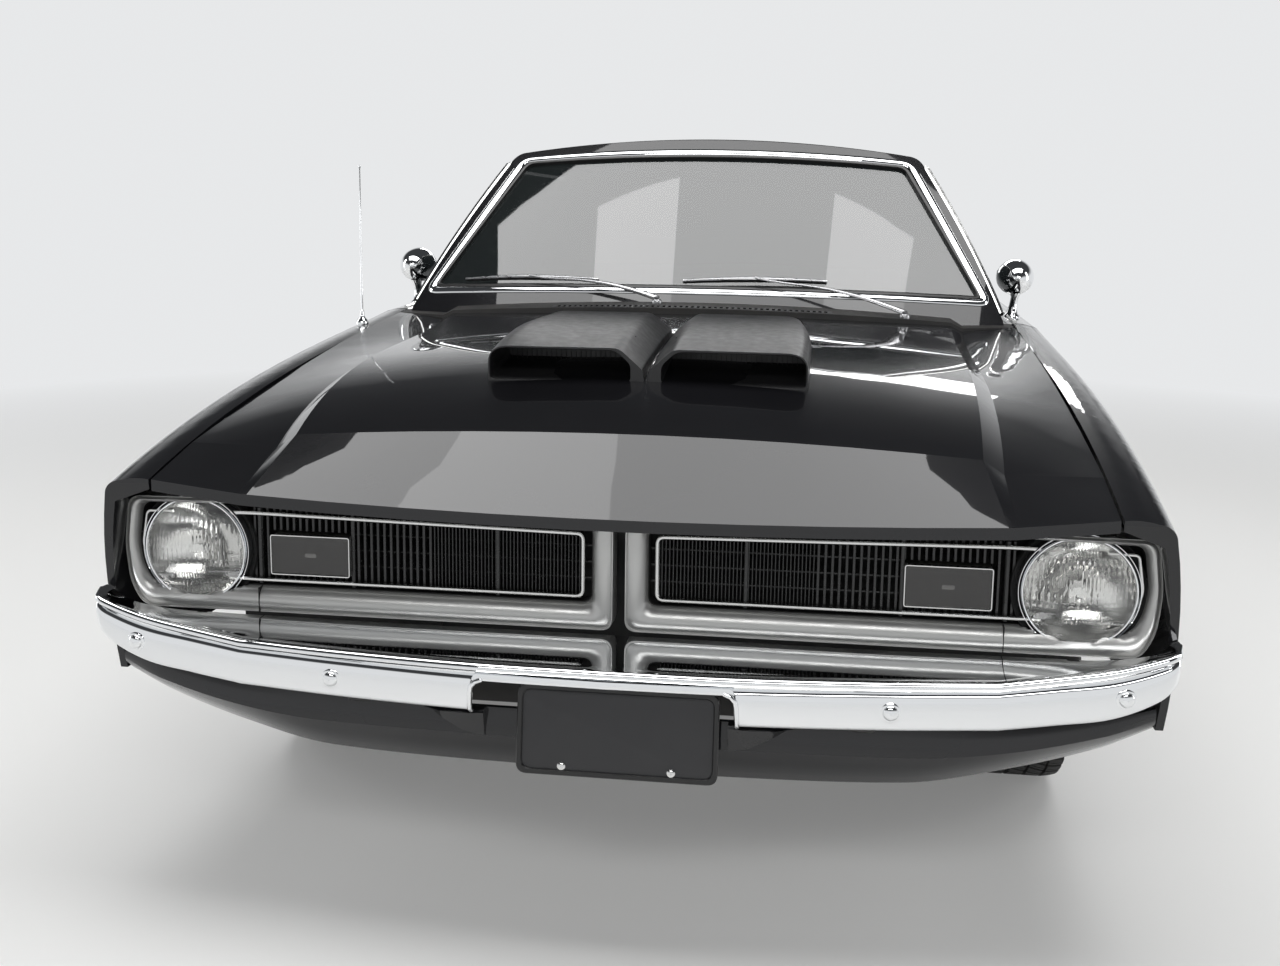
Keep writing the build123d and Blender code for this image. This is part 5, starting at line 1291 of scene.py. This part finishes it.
def drum_mesh():
    """A brake drum about the x axis, open at the back."""
    profile = [
        (0.030, -0.0498), (0.133, -0.0498), (0.135, -0.046), (0.135, 0.0010), (0.131, 0.0045),
        (0.100, 0.0045), (0.098, 0.0025), (0.0003, 0.0025),
    ]
    return turned(profile, (0, 0, 0), (1, 0, 0), 72)


def valve_mesh():
    """A valve in the barrel of a rim, leaning out."""
    profile = [(0.0055, 0.0), (0.0055, 0.014), (0.0035, 0.016), (0.0035, 0.026), (0.0003, 0.027)]
    return turned(profile, (0.070, 0.0, 0.172), (0.8, 0.0, -0.6), 12)


def build_wheels():
    """Tyre, nuts and cap, valve, rim and brake drum of all four wheels."""
    # piece, mesh, finish, sharp angle, and the kind of CAD node that it replaces
    kinds = [
        ("tyre_body", tyre_mesh(), "rubber_tyre", 38, "tyre"),
        ("wheel_trim", wheel_trim(), "chrome", 35, None),
        ("valve", valve_mesh(), "black_matte", 35, None),
        ("rim_body", rim_mesh(), "wheel_metal", 32, "rim"),
        ("brake_drum", drum_mesh(), "cast_iron", 35, None),
    ]
    for axle, half_track, y in axles:
        for hand, side in (("left", 1), ("right", -1)):
            for name, part, kind, sharp, node in kinds:
                placed = placed_on_wheel(part, side, side * half_track, y)
                piece = new_piece(f"{name}_{axle}_{hand}", [placed], kind, f"wheel_{axle}_{hand}", sharp)
                if node:
                    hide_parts(f"{node}_{axle}_{hand}")


build_wheels()


# Sides and back

# Rear bumper columns: x, face y, back y, back z, ridge z, top z, low z
rear_bumper_rows = [
    (0.000, 2.445, 2.348, 0.544, 0.540, 0.520, 0.452),
    (0.600, 2.435, 2.348, 0.544, 0.540, 0.520, 0.452),
    (0.820, 2.403, 2.344, 0.546, 0.542, 0.522, 0.456),
    (0.892, 2.366, 2.336, 0.548, 0.544, 0.524, 0.464),
]
tail_face_y = 2.330
lens_rib_pitch = 0.0066


def build_rear_bumper():
    """Chrome rear bumper with round bolts and a blank plate on its face."""
    half = bumper_run(rear_bumper_rows, 1, 0.0, rear_bumper_rows[-1][0], 44, crowd=1.4)
    parts = [capped(mirrored_sections(half), flip=True)]
    for x in (0.300, 0.560, 0.780):
        seat = (x, read_rows(rear_bumper_rows, x)[0] - 0.0015, 0.488)
        parts += both_sides([dome_bolt(seat, (0.10 * x, 1.0, -0.05))])
    piece = new_piece("rear_bumper_bar", parts, "chrome", sharp=32)
    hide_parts("rear_bumper")
    build_plate("rear_plate", (0.0, 2.452, 0.506), 0.312, 0.158, 0.0, 1)
    arms = [block((x, tail_face_y - 0.004, 0.474), (x + 0.034, 2.428, 0.508), 0.003) for x in (0.330, 0.600)]
    new_piece("rear_bumper_arms", both_sides(arms), "chassis_black")


def ribbed_lens(x, z, width, height, back_y, face_y):
    """A lamp lens facing back, with upright ribs and rounded edges."""
    rows = []
    steps = 3 * round(width / lens_rib_pitch)
    for k in range(steps + 1):
        place = x - width / 2 + width * k / steps
        end = min(k, steps - k)
        sink = 0.0045 if end == 0 else (0.0012 if end == 1 else 0.0)
        y = face_y - sink - (0.0011 if k % 3 == 0 else 0.0)
        half = height / 2
        rows.append([
            (place, back_y, z - half), (place, y - 0.0040, z - half), (place, y - 0.0012, z - half + 0.0012),
            (place, y, z - half + 0.0040), (place, y + 0.0009, z), (place, y, z + half - 0.0040),
            (place, y - 0.0012, z + half - 0.0012), (place, y - 0.0040, z + half), (place, back_y, z + half),
        ])
    return capped(rows, flip=True)


def build_tail_lamps():
    """Two long lenses a side in bright frames, the inner ends clear for reversing."""
    profile = [
        (-0.0035, -0.006), (-0.0035, 0.0036), (-0.0016, 0.0056), (0.0016, 0.0056), (0.0040, 0.0030),
        (0.0046, -0.006),
    ]
    low_x, high_x, half = 0.330, 0.710, 0.017
    lenses = []
    clear = []
    frames = []
    for z in (0.706, 0.772):
        lenses.append(ribbed_lens(0.564, z, 0.284, 0.030, tail_face_y - 0.004, tail_face_y + 0.009))
        clear.append(ribbed_lens(0.376, z, 0.084, 0.030, tail_face_y - 0.004, tail_face_y + 0.009))
        outline = [(low_x, z - half), (high_x, z - half), (high_x, z + half), (low_x, z + half)]
        places = [Vector((x, tail_face_y + 0.002, height)) for x, height in outline]
        path = divided(rounded_loop(places, 0.008, 6), 0.05)
        frames.append(swept(path, (0, 1, 0), profile, closed=True, flip=True))
        frames.append(block((0.4185, tail_face_y, z - 0.016), (0.4215, tail_face_y + 0.010, z + 0.016)))
    piece = new_piece("tail_lenses", both_sides(lenses), "red_lens")
    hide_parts("tail_lamps")
    new_piece("reversing_lenses", both_sides(clear), "lamp_silver")
    new_piece("tail_lamp_frames", both_sides(frames), "chrome")


def build_exhaust_tips():
    """Polished ends with rolled lips, dark inside from soot and painted shade."""
    centre = (0.330, 2.400, 0.268)
    lip = [
        (0.0278, -0.110), (0.0278, 0.006), (0.0292, 0.0080), (0.0296, 0.0105), (0.0286, 0.0125),
        (0.0262, 0.0128), (0.0246, 0.0110), (0.0240, 0.0080), (0.0240, 0.0006),
    ]
    new_piece("exhaust_tips", both_sides([turned(lip, centre, (0, 1, 0), 40)]), "chrome")
    # a flat black disc across each mouth: the pipe's soot, and painted shade for its dark depth
    shade_and_soot = turned([(0.0240, 0.0008), (0.0003, 0.0008)], centre, (0, 1, 0), 24)
    new_piece("exhaust_shade_and_soot", both_sides([shade_and_soot]), "black_matte")


handle_z = 0.806
lock_z = handle_z - 0.058
# Grip of a door handle: y, distance out from the door, width and depth
grip_rows = [
    (0.256, 0.001, 0.020, 0.010), (0.262, 0.010, 0.021, 0.008), (0.274, 0.0165, 0.020, 0.007),
    (0.296, 0.0195, 0.018, 0.006), (0.330, 0.0200, 0.017, 0.006), (0.356, 0.0180, 0.019, 0.007),
    (0.370, 0.0120, 0.022, 0.009), (0.376, 0.001, 0.022, 0.010),
]


def build_door_handles():
    """Pull handles with push buttons and key locks on both doors."""
    tree = tree_of("door_left")
    path = []
    for y, out, _, _ in grip_rows:
        point, normal = on_side(tree, y, handle_z)
        path.append(point + normal * out)
    widths = [row[2] for row in grip_rows]
    depths = [row[3] for row in grip_rows]
    parts = [limb(path, widths, depths, (1, 0, 0.1))]
    for y, radius in ((0.260, 0.017), (0.374, 0.019)):
        foot = [(radius, -0.001), (radius, 0.0018), (radius - 0.0015, 0.0034), (0.0003, 0.0042)]
        parts.append(turned(foot, *on_side(tree, y, handle_z), 32))
    button = [(0.0105, 0.0), (0.0105, 0.0165), (0.0095, 0.0182), (0.0003, 0.0188)]
    parts.append(turned(button, *on_side(tree, 0.380, handle_z), 28))
    lock = [
        (0.0125, -0.001), (0.0125, 0.0022), (0.0110, 0.0036), (0.0070, 0.0040), (0.0066, 0.0026),
        (0.0003, 0.0026),
    ]
    parts.append(turned(lock, *on_side(tree, 0.372, lock_z), 28))
    add_door_pieces([("door_handle", parts, "chrome", 35, None)])


def marker_frame(places, y, z):
    """The frame of a side marker, over places (x of the body, distance along from y)."""
    rows = []
    for x, offset in places:
        shrink = max(0.0, abs(offset) - 0.042)
        half = 0.0180 - shrink * 0.5
        edge_x = x + 0.003 - shrink
        face_x = x + 0.0042 - shrink
        section = [
            (x - 0.004, -half), (edge_x, -half), (face_x, 0.002 - half), (face_x, half - 0.002),
            (edge_x, half), (x - 0.004, half),
        ]
        rows.append([(px, y + offset, z + pz) for px, pz in section])
    return capped(rows)


def marker_lens(places, y, z):
    """The ribbed lens of a side marker, between the body's places at its ends and middle."""
    steps = 24
    rows = []
    for k, offset in enumerate(spread(-0.039, 0.039, steps)):
        low, high = places[:2] if offset < 0 else places[1:]
        x = low[0] + (high[0] - low[0]) * (offset - low[1]) / (high[1] - low[1])
        edge = 0.0018 if k in (0, steps) else 0.0
        sink = edge + (0.0007 if k % 2 else 0.0)
        section = [
            (0.0, -0.0125), (0.0060 - edge, -0.0125), (0.0076 - sink, -0.0095), (0.0082 - sink, 0.0),
            (0.0076 - sink, 0.0095), (0.0060 - edge, 0.0125), (0.0, 0.0125),
        ]
        rows.append([(x + out, y + offset, z + up) for out, up in section])
    return capped(rows)


def build_side_markers():
    """Small lamps near the ends of the sides, in bright frames."""
    for name, node, y, z, kind in (
        ("front", "front_fenders", -2.130, 0.560, "amber_lens"),
        ("rear", "quarter_panels", 2.130, 0.600, "red_lens"),
    ):
        tree = tree_of(node)
        offsets = (-0.046, -0.044, -0.038, 0.0, 0.038, 0.044, 0.046)
        places = [(on_side(tree, y + offset, z)[0].x, offset) for offset in offsets]
        new_piece(f"{name}_marker_frames", both_sides([marker_frame(places, y, z)]), "chrome")
        new_piece(f"{name}_marker_lenses", both_sides([marker_lens(places[2:5], y, z)]), kind)


def build_locks():
    """Fuel cap on the left rear quarter and key lock on the tail panel."""
    cap = [
        (0.0440, -0.002), (0.0440, 0.004), (0.0425, 0.0062), (0.0385, 0.0070), (0.0370, 0.0055),
        (0.0350, 0.0055), (0.0335, 0.0080), (0.0290, 0.0096), (0.0120, 0.0108), (0.0003, 0.0110),
    ]
    lock = [
        (0.0170, -0.001), (0.0170, 0.0020), (0.0150, 0.0042), (0.0095, 0.0050), (0.0090, 0.0034),
        (0.0003, 0.0034),
    ]
    parts = [turned(cap, *on_side(tree_of("quarter_panels"), 1.905, 0.800), 56)]
    point, normal = hit(tree_of("rear_panels", "trunk_lid"), (0.0, 3.0, 0.738), (0, -1, 0))
    parts.append(turned(lock, point, normal, 36))
    new_piece("fuel_cap_and_lock", parts, "chrome")


build_rear_bumper()
build_tail_lamps()
build_exhaust_tips()
build_door_handles()
build_side_markers()
build_locks()


# Cabin

wheel_hub = Vector((0.370, -0.400, 0.800))
column_tilt = math.radians(22)
column_dir = Vector((0, math.cos(column_tilt), math.sin(column_tilt)))
front_seat_x = 0.395
bench_back_y = 1.159
# Voxels from which the pads are blown up
front_voxel = 0.0105
bench_voxel = 0.014
pad_pressure = 4.0
cloth_frames = 20
channel_depth = 0.006
# How squarely a face of a pad must look out for a channel to press it in
channel_look = 0.35


def pad_shape(profile, half_width, corner, inset):
    """A closed pad: a side outline in y and z carried across x, its ends rounded off."""
    middle_y = sum(y for y, _ in profile) / len(profile)
    middle_z = sum(z for _, z in profile) / len(profile)
    loop = rounded_loop([Vector((0, y, z)) for y, z in profile], corner, 5)
    reach = half_width - inset
    steps = 7
    ends = [-reach + corner * (1 - math.cos(math.pi / 2 * k / steps)) for k in range(steps)]
    between = [-reach + corner + 2 * (reach - corner) * k / 12 for k in range(13)]
    rows = []
    for x in ends + between + [-x for x in reversed(ends)]:
        into = max(0.0, (abs(x) - (reach - corner)) / corner)
        shrink = inset + corner * (1 - math.sqrt(max(0.0, 1 - into**2)))
        row = []
        for p in loop:
            pull = Vector((0, p.y - middle_y, p.z - middle_z))
            row.append(p - pull.normalized() * min(shrink, pull.length * 0.6) + Vector((x, 0, 0)))
        rows.append(row)
    return capped(rows)


def mesh_copy(source, name, kind, **settings):
    """A new mesh of an object with one modifier worked out."""
    step = source.modifiers.new(kind.lower(), kind)
    for key, value in settings.items():
        setattr(step, key, value)
    shown = source.evaluated_get(bpy.context.evaluated_depsgraph_get())
    made = bpy.data.meshes.new_from_object(shown)
    made.name = name
    source.modifiers.clear()
    return made


def inflated(name, part, voxel, cap):
    """The pad's mesh blown up by cloth under pressure, no point moving further than cap."""
    mesh = bpy.data.meshes.new(name + "_start")
    mesh.from_pydata([tuple(v) for v in part[0]], [], part[1])
    source = add_object(name + "_start", mesh)
    remeshed = mesh_copy(source, name, "REMESH", mode="VOXEL", voxel_size=voxel)
    bpy.data.objects.remove(source)
    pad = add_object(name, remeshed)
    rest = [v.co.copy() for v in remeshed.vertices]
    cloth = pad.modifiers.new("cloth", "CLOTH")
    cloth.settings.use_pressure = True
    cloth.settings.uniform_pressure_force = pad_pressure
    cloth.settings.effector_weights.gravity = 0.0
    for frame_number in range(1, cloth_frames + 1):
        bpy.context.scene.frame_set(frame_number)
    shown = pad.evaluated_get(bpy.context.evaluated_depsgraph_get())
    moved = [v.co.copy() for v in shown.data.vertices]
    pad.modifiers.clear()
    bpy.context.scene.frame_set(1)
    for vertex, start, end in zip(remeshed.vertices, rest, moved):
        step = end - start
        if step.length > cap:
            step *= cap / step.length
        vertex.co = start + step
    remeshed.update()
    finer = mesh_copy(pad, name, "SUBSURF", levels=1, render_levels=1)
    bpy.data.objects.remove(pad)
    return finer


def press_channels(mesh, places, facing, width):
    """Sewn channels at places across the car: points near one move in, on faces that look out."""
    facing = Vector(facing).normalized()
    for vertex in mesh.vertices:
        look = max(0.0, vertex.normal.dot(facing))
        if look < channel_look:
            continue
        near = min(abs(vertex.co.x - place) for place in places)
        vertex.co -= facing * channel_depth * look * math.exp(-((near / width) ** 2))
    mesh.update()


def place_pad(name, mesh, shift, replaced=None):
    """A finished pad, moved across the car to its place."""
    obj = add_object(name, mesh.copy())
    for vertex in obj.data.vertices:
        vertex.co.x += shift
    obj.data.shade_smooth()
    dress(obj, "seat_vinyl")
    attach(obj, "root")
    if replaced:
        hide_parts(replaced)


def build_front_seats():
    """Two buckets: a cushion and a backrest with upright channels, on a plain base."""
    cushion_side = [
        (-0.176, 0.325), (-0.182, 0.405), (-0.150, 0.436), (0.120, 0.424), (0.310, 0.404), (0.330, 0.325),
    ]
    back_side = [
        (0.292, 0.420), (0.345, 0.668), (0.400, 0.925), (0.430, 1.004), (0.478, 1.014), (0.496, 0.975),
        (0.430, 0.480), (0.392, 0.400),
    ]
    places = [-0.13, -0.065, 0.0, 0.065, 0.13]
    cushion = inflated("front_cushion", pad_shape(cushion_side, 0.222, 0.030, 0.008), front_voxel, 0.013)
    press_channels(cushion, places, (0, 0, 1), 0.006)
    back = inflated("front_back", pad_shape(back_side, 0.218, 0.034, 0.008), front_voxel, 0.014)
    press_channels(back, places, (0, -0.97, 0.2), 0.006)
    bases = []
    for side, x in (("left", front_seat_x), ("right", -front_seat_x)):
        place_pad(f"front_cushion_{side}", cushion, x, "front_seats")
        place_pad(f"front_back_{side}", back, x)
        bases.append(block((x - 0.196, -0.150, 0.262), (x + 0.196, 0.330, 0.330), 0.010))
        for rail in (-0.150, 0.130):
            bases.append(block((x + rail, -0.160, 0.2265), (x + rail + 0.026, 0.380, 0.264), 0.002))
    new_piece("front_seat_bases", bases, "dash_plastic")


def build_rear_seat():
    """A bench: one wide cushion and a backrest, each with upright channels."""
    y = bench_back_y
    cushion_side = [
        (y - 0.518, 0.372), (y - 0.530, 0.505), (y - 0.497, 0.553), (y - 0.190, 0.549), (y - 0.170, 0.536),
        (y - 0.205, 0.500), (y - 0.262, 0.412),
    ]
    back_side = [
        (y - 0.170, 0.565), (y - 0.117, 0.852), (y - 0.059, 0.868), (y - 0.006, 0.836), (y - 0.006, 0.540),
        (y - 0.120, 0.536),
    ]
    places = spread(-0.44, 0.44, 8)
    cushion = inflated("rear_cushion", pad_shape(cushion_side, 0.552, 0.028, 0.007), bench_voxel, 0.012)
    press_channels(cushion, places, (0, 0, 1), 0.008)
    back = inflated("rear_back", pad_shape(back_side, 0.552, 0.028, 0.007), bench_voxel, 0.012)
    press_channels(back, places, (0, -0.98, 0.18), 0.008)
    place_pad("rear_seat_cushion", cushion, 0.0, "rear_seat")
    place_pad("rear_seat_back", back, 0.0)


steering_rim_r = 0.190
steering_grip_r = 0.0118
# Along a spoke of the steering wheel: radius, height over the rim's plane, width
steering_spoke = [
    (0.030, -0.016, 0.036), (0.060, -0.014, 0.030), (0.120, -0.008, 0.026), (0.182, 0.0, 0.030),
]


def build_steering_wheel():
    """A wooden rim on three metal spokes with a padded hub."""
    across = column_dir.cross(Vector((1, 0, 0))).normalized()

    def outward(angle):
        return Vector((1, 0, 0)) * math.cos(angle) + across * math.sin(angle)

    grip_angles = [math.pi * k / 8 for k in range(16)]
    grip = [(steering_grip_r * math.cos(a), steering_grip_r * math.sin(a)) for a in grip_angles]
    steps = 96
    rows = []
    for i in range(steps):
        angle = 2 * math.pi * i / steps
        # thirty finger grooves round the rim
        share = 1.0 - 0.07 * max(0.0, math.cos(angle * 30)) ** 8
        out = outward(angle)
        row = [wheel_hub + out * (steering_rim_r + r * share) + column_dir * h * share for r, h in grip]
        rows.append(row)
    rim = lattice(rows, wrap_rows=True, wrap_columns=True)
    piece = new_piece("steering_rim", [rim], "wheel_wood", "steering_wheel")
    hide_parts("steering_wheel")
    parts = []
    for degrees in (-90, 30, 150):
        out = outward(math.radians(degrees))
        path = [wheel_hub + out * r + column_dir * h for r, h, _ in steering_spoke]
        parts.append(limb(path, [width for _, _, width in steering_spoke], [0.004] * 4, column_dir))
    hub = [(0.040, -0.030), (0.040, -0.018), (0.034, -0.012), (0.034, -0.006), (0.0003, -0.006)]
    parts.append(turned(hub, wheel_hub, column_dir, 40))
    new_piece("steering_spokes", parts, "wheel_metal", "steering_wheel")
    horn = [(0.033, -0.006), (0.033, 0.004), (0.028, 0.009), (0.012, 0.012), (0.0003, 0.0125)]
    new_piece("steering_horn", [turned(horn, wheel_hub, column_dir, 40)], "dash_plastic", "steering_wheel")


dash_face_y = -0.606
# x and radius of each gauge
gauges = [(0.250, 0.022), (0.318, 0.034), (0.422, 0.034), (0.490, 0.022)]
gauge_z = 0.818


def build_dash_fittings():
    """Round gauges ahead of the driver, two knobs, a glove box lid, a radio and six vents."""
    back = (0, 1, 0)
    rings = []
    dials = []
    for x, radius in gauges:
        outer, inner = radius + 0.004, radius - 0.001
        ring = [(outer, 0.0), (outer, 0.003), (radius + 0.001, 0.005), (inner, 0.003), (inner, 0.0)]
        rings.append(turned(ring, (x, dash_face_y, gauge_z), back, 36))
        dials.append(turned([(radius, 0.0008), (0.0003, 0.0008)], (x, dash_face_y, gauge_z), back, 36))
    knob = [(0.009, 0.0), (0.009, 0.010), (0.007, 0.013), (0.0003, 0.0135)]
    rings += [turned(knob, (x, dash_face_y, 0.800), back, 20) for x in (0.044, 0.096)]
    new_piece("gauge_rings", rings, "chrome_satin")
    new_piece("gauge_dials", dials, "black_matte")
    y = dash_face_y - 0.004
    lids = [
        block((-0.560, y, 0.782), (-0.240, dash_face_y + 0.003, 0.852), 0.003),
        block((-0.070, y, 0.784), (0.120, dash_face_y + 0.002, 0.816), 0.002),
    ]
    for x in spread(-0.060, 0.080, 5):
        lids.append(block((x, y, 0.828), (x + 0.018, dash_face_y + 0.003, 0.852), 0.001))
    new_piece("dash_lids", lids, "black_plastic")


def build_inside_mirror():
    """A mirror on a stem under the roof's front edge."""
    stem_path = [(0.0, -0.552, 1.352), (0.0, -0.535, 1.330), (0.0, -0.530, 1.306)]
    stem = limb(stem_path, [0.020, 0.012, 0.010], [0.008] * 3, (0, 1, 0.3))
    shell = block((-0.120, -0.540, 1.262), (0.120, -0.518, 1.318), 0.008)
    new_piece("inside_mirror", [stem, shell], "dash_plastic")
    glass = block((-0.113, -0.5195, 1.269), (0.113, -0.5170, 1.311), 0.001)
    new_piece("inside_mirror_glass", [glass], "mirror_glass")


build_front_seats()
build_rear_seat()
build_steering_wheel()
build_dash_fittings()
build_inside_mirror()


# Roof panel and rear window

roof_front_y = -0.485
roof_rear_y = 0.634
roof_edge_x = 0.560
# Between these places the roof's crown passes from its front radius to its middle radius
crown_front_y = -0.35
crown_middle_y = -0.02
# How far the panel and the rear window stand off the CAD skin
skin_gap = 0.0010


def crown_drop(radius, x):
    """How far a crown of a radius lies below its middle at x."""
    return radius - math.sqrt(radius**2 - x**2)


def build_roof_panel():
    """The roof's painted outer panel, from the windscreen to the rear window."""
    tree = tree_of("roof")

    def crown_radius(y):
        rise = on_top(tree, 0.0, y)[0].z - on_top(tree, roof_edge_x, y)[0].z
        return (roof_edge_x**2 + rise**2) / (2 * rise)

    front_radius = crown_radius(crown_front_y)
    middle_radius = crown_radius(crown_middle_y)
    places = spread(-roof_edge_x, roof_edge_x, 40)
    rows = []
    for y in spread(roof_front_y, roof_rear_y, 48):
        share = min(1.0, max(0.0, (y - crown_front_y) / (crown_middle_y - crown_front_y)))
        radius = front_radius + (middle_radius - front_radius) * share
        middle_z = on_top(tree, roof_edge_x, y)[0].z + crown_drop(radius, roof_edge_x) + skin_gap
        rows.append([(x, y, middle_z - crown_drop(radius, x)) for x in places])
    new_piece("roof_panel", [lattice(rows)], "black_paint")


def build_rear_window():
    """The rear window's glass, inside its moulding."""
    low_x, low_up, low_middle, high_x, high_up, high_middle = backlight_outline
    rows = []
    for v in spread(0.0, 1.0, 24):
        row = []
        for u in spread(-1.0, 1.0, 32):
            start = low_middle + (low_up - low_middle) * u**2
            end = high_middle + (high_up - high_middle) * u**2
            x = u * (low_x + (high_x - low_x) * v)
            up = start + (end - start) * v
            row.append(on_glass(backlight_top, backlight_end, backlight_r, x, up, skin_gap)[0])
        rows.append(row)
    new_piece("rear_window", [lattice(rows)], "window_glass")


build_roof_panel()
build_rear_window()


# Camera, light and floor

camera_place = (0.332, -4.487, 1.231)
camera_heading = -7.5
camera_pitch = -9.24
camera_roll = 0.8
image_width = 1280
image_height = 966
focal_px = 1369
centre_px = (644, 419)


def make_camera():
    """The camera at the photograph's viewpoint."""
    heading, pitch, roll = (math.radians(a) for a in (camera_heading, camera_pitch, camera_roll))
    north = Vector((math.sin(heading), math.cos(heading), 0.0))
    ahead = north * math.cos(pitch) + Vector((0.0, 0.0, math.sin(pitch)))
    level = Vector((math.cos(heading), -math.sin(heading), 0.0))
    over = level.cross(ahead)
    right = level * math.cos(roll) + over * math.sin(roll)
    up = right.cross(ahead)
    data = bpy.data.cameras.new("camera")
    camera = add_object("camera", data)
    turn = Matrix((right, up, -ahead)).transposed()
    camera.matrix_world = Matrix.Translation(camera_place) @ turn.to_4x4()
    data.sensor_width = 36.0
    data.lens = 36.0 * focal_px / image_width
    data.shift_x = (image_width / 2 - centre_px[0]) / image_width
    data.shift_y = (centre_px[1] - image_height / 2) / image_width
    bpy.context.scene.camera = camera


def area_lamp(name, place, target, size, power):
    """A soft rectangular lamp that points at a target."""
    data = bpy.data.lights.new(name, "AREA")
    data.shape = "RECTANGLE"
    data.size, data.size_y = size
    data.energy = power
    lamp = add_object(name, data)
    lamp.location = place
    lamp.rotation_euler = (Vector(target) - Vector(place)).to_track_quat("-Z", "Y").to_euler()


horizon_color = (0.80, 0.81, 0.82, 1.0)
# The floor's half length, and the distances between which its glow sets in
floor_reach = 60.0
glow_start = 2.6
glow_end = 5.8


def make_world():
    """Pale surroundings near the horizon that darken overhead."""
    world = bpy.data.worlds.new("studio")
    world.use_nodes = True
    bpy.context.scene.world = world
    tree = world.node_tree
    background = tree.nodes["Background"]
    place = tree.nodes.new("ShaderNodeTexCoord")
    split = tree.nodes.new("ShaderNodeSeparateXYZ")
    ramp = tree.nodes.new("ShaderNodeValToRGB")
    tree.links.new(place.outputs["Generated"], split.inputs["Vector"])
    tree.links.new(split.outputs["Z"], ramp.inputs["Fac"])
    ramp.color_ramp.elements[0].position = 0.16
    ramp.color_ramp.elements[0].color = horizon_color
    ramp.color_ramp.elements[1].position = 0.42
    ramp.color_ramp.elements[1].color = (0.045, 0.047, 0.05, 1.0)
    tree.links.new(ramp.outputs["Color"], background.inputs["Color"])
    background.inputs["Strength"].default_value = 1.0


def make_floor():
    """A pale floor that glows far out, so it meets the pale surroundings without a band."""
    mesh = bpy.data.meshes.new("studio_floor")
    corners = [(-1, -1), (1, -1), (1, 1), (-1, 1)]
    mesh.from_pydata([(x * floor_reach, y * floor_reach, 0) for x, y in corners], [], [(0, 1, 2, 3)])
    floor = add_object("studio_floor", mesh)
    pale = shader("floor_pale", (0.66, 0.66, 0.65), 0.5)
    bsdf = pale.node_tree.nodes["Principled BSDF"]
    bsdf.inputs["Emission Color"].default_value = (1.0, 1.0, 0.99, 1.0)
    bsdf.inputs["Emission Strength"].default_value = 0.18
    mesh.materials.append(pale)
    tree = pale.node_tree
    place = tree.nodes.new("ShaderNodeTexCoord")
    far = tree.nodes.new("ShaderNodeVectorMath")
    far.operation = "LENGTH"
    ramp = tree.nodes.new("ShaderNodeMapRange")
    ramp.inputs["From Min"].default_value = glow_start
    ramp.inputs["From Max"].default_value = glow_end
    glow = tree.nodes.new("ShaderNodeEmission")
    glow.inputs["Color"].default_value = horizon_color
    mix = tree.nodes.new("ShaderNodeMixShader")
    tree.links.new(place.outputs["Object"], far.inputs[0])
    tree.links.new(far.outputs["Value"], ramp.inputs["Value"])
    tree.links.new(ramp.outputs["Result"], mix.inputs["Fac"])
    tree.links.new(tree.nodes["Principled BSDF"].outputs["BSDF"], mix.inputs[1])
    tree.links.new(glow.outputs["Emission"], mix.inputs[2])
    tree.links.new(mix.outputs["Shader"], tree.nodes["Material Output"].inputs["Surface"])


# Lamps: name, place, target, size and power in watts
lamp_rows = [
    ("overhead", (0.0, -1.6, 6.0), (0.0, -1.0, 0.0), (7.0, 3.4), 290),
    ("overhead_left", (1.75, -1.6, 5.9), (1.75, -1.0, 0.0), (1.1, 2.6), 15),
    ("overhead_right", (-1.35, -1.6, 5.9), (-1.35, -1.0, 0.0), (1.1, 2.6), 15),
    ("left_side", (6.0, -0.8, 2.2), (0.0, 0.0, 0.5), (1.2, 5.5), 95),
    ("right_side", (-6.0, -0.8, 2.2), (0.0, 0.0, 0.5), (1.2, 5.5), 95),
    ("front_high", (0.3, -7.2, 4.4), (0.0, -1.6, 0.4), (5.0, 1.0), 105),
    ("rear_high", (0.0, 7.0, 4.0), (0.0, 1.6, 0.4), (5.0, 1.0), 95),
]


def make_studio():
    """Surroundings, floor and soft lamps."""
    bpy.context.scene.view_settings.view_transform = "Standard"
    make_world()
    make_floor()
    for row in lamp_rows:
        area_lamp(*row)


make_camera()
make_studio()
